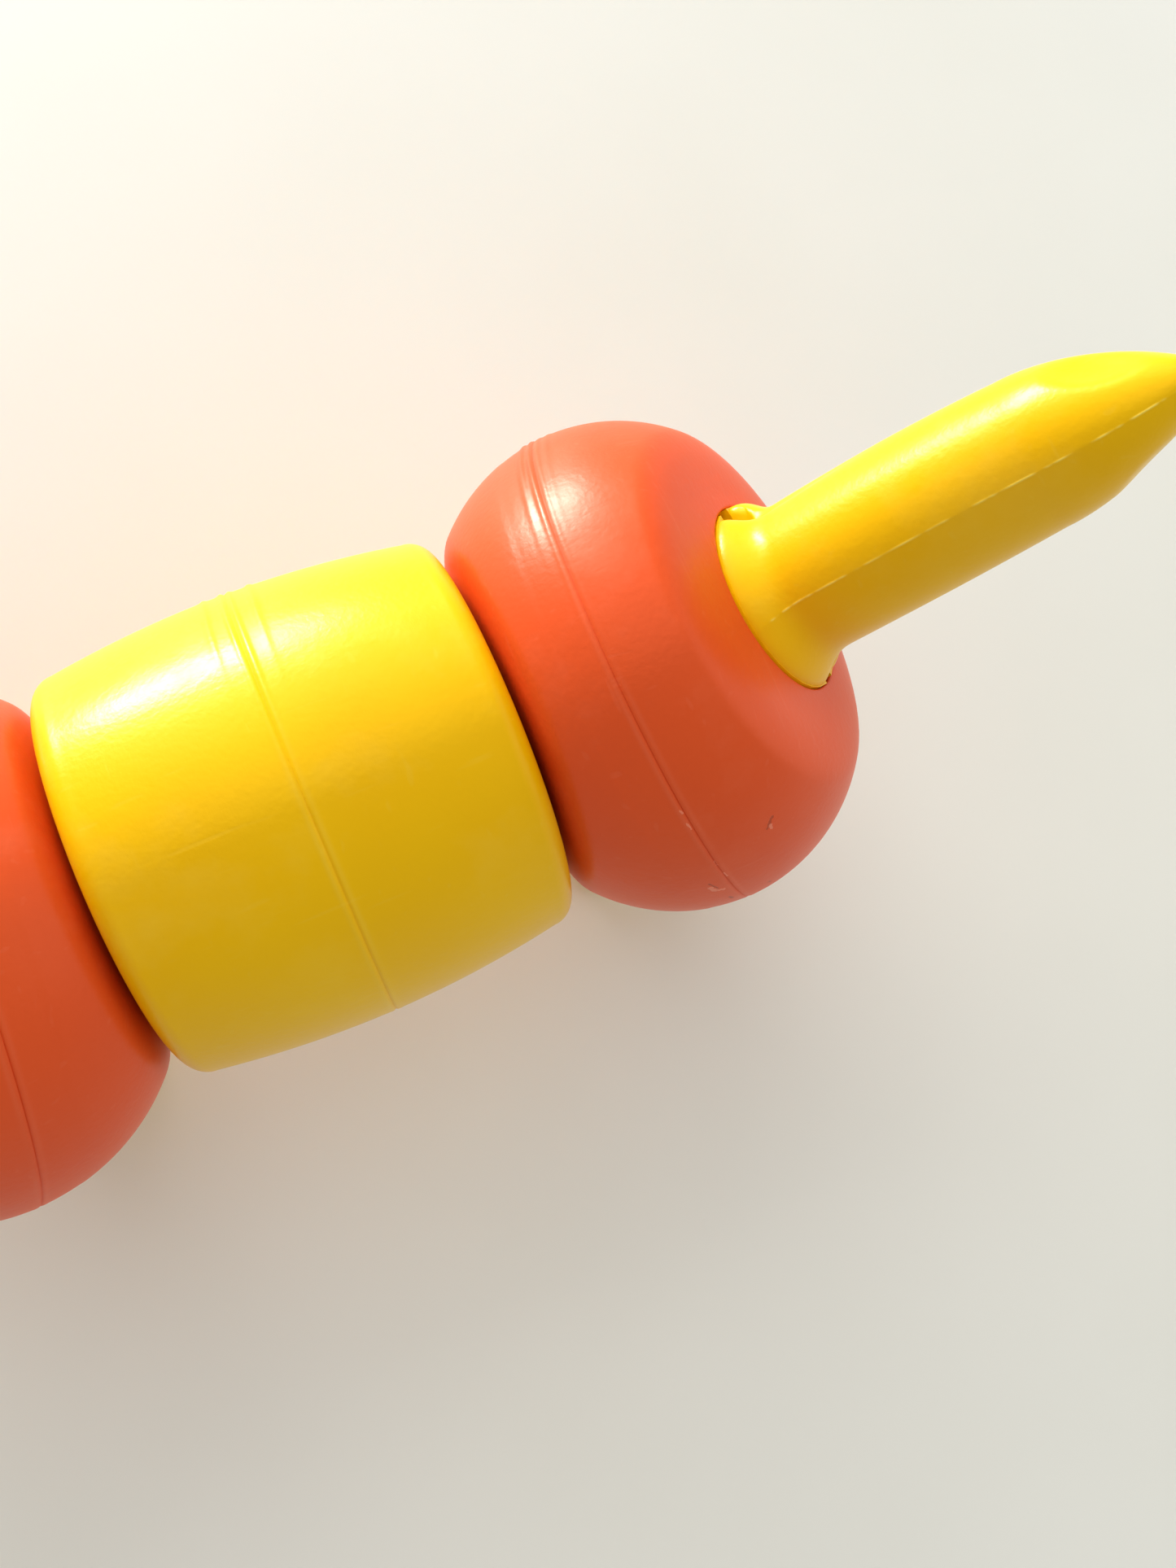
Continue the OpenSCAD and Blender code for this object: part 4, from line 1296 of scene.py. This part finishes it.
window = area_light("window", distance=0.9, power=10.5, **WINDOW)
glint = area_light("window_glint", distance=0.89, power=13.5, colour=(1.0, 0.99, 0.98), **WINDOW)
glint.visible_diffuse = False
area_light("doorway", -12, 26, distance=1.0, width=0.8, height=0.8, power=1.9)
area_light("window_glow", 86, 34, distance=0.9, width=0.8, height=0.7, power=3.5)
area_light("ceiling", 80, 70, distance=1.6, width=1.4, height=1.4, power=5.2, colour=WHITE[:3])

world = bpy.data.worlds.new("room")
scene.world = world
world.use_nodes = True
tree = world.node_tree
room = tree.nodes["Background"].inputs
seen = add(tree, "ShaderNodeLightPath")
bright = maths(tree, "MAXIMUM", seen.outputs["Is Camera Ray"], seen.outputs["Is Transmission Ray"])
bright = maths(tree, "MAXIMUM", bright, seen.outputs["Is Glossy Ray"])
tree.links.new(mixed(tree, bright, ROOM_COLOUR, WHITE), room["Color"])
tree.links.new(span(tree, bright, 0, 1, ROOM_LIGHT, 1.0), room["Strength"])


# Floor: half width in millimetres, fade in metres

FLOOR_HALF = 6000
FADE_START = 0.22
FADE_END = 1.1


def make_floor():
    """A pale table top, faintly mottled, that the camera and reflections see fade to white far off."""
    corners = np.array([(-1, -1, 0), (1, -1, 0), (1, 1, 0), (-1, 1, 0)])
    floor = new_object("floor", FLOOR_HALF * corners, [(0, 1, 2, 3)])
    material, tree, shader, where = new_material("floor")
    mottle = span(tree, noise(tree, where, 9.0, 4.0), 0.3, 0.7)
    tone = mixed(tree, mottle, linear(247, 247, 237), linear(242, 242, 231))
    tree.links.new(tone, shader.inputs["Base Color"])
    shader.inputs["Roughness"].default_value = 0.6
    nearness = maths(tree, "DIVIDE", FADE_START, vectors(tree, "LENGTH", where)["Value"])
    fade = {"Value": nearness, "From Min": 1.0, "From Max": FADE_START / FADE_END}
    far = add(tree, "ShaderNodeMapRange", fade, interpolation_type="SMOOTHSTEP").outputs["Result"]
    seen = add(tree, "ShaderNodeLightPath")
    direct = maths(tree, "MAXIMUM", seen.outputs["Is Camera Ray"], seen.outputs["Is Glossy Ray"])
    white = add(tree, "ShaderNodeEmission", {"Color": WHITE, "Strength": 1.0})
    blend = add(tree, "ShaderNodeMixShader", {
        0: maths(tree, "MULTIPLY", far, direct), 1: shader.outputs["BSDF"], 2: white.outputs["Emission"]})
    tree.links.new(blend.outputs["Shader"], tree.nodes["Material Output"].inputs["Surface"])
    floor.data.materials.append(material)
    return floor


# The low window doesn't light the floor, whose soft shadow is the glow's
unlit = bpy.data.collections.new("not_lit_by_window")
unlit.objects.link(make_floor())
unlit.collection_objects[0].light_linking.link_state = "EXCLUDE"
window.light_linking.receiver_collection = unlit

scene.view_settings.view_transform = "Standard"
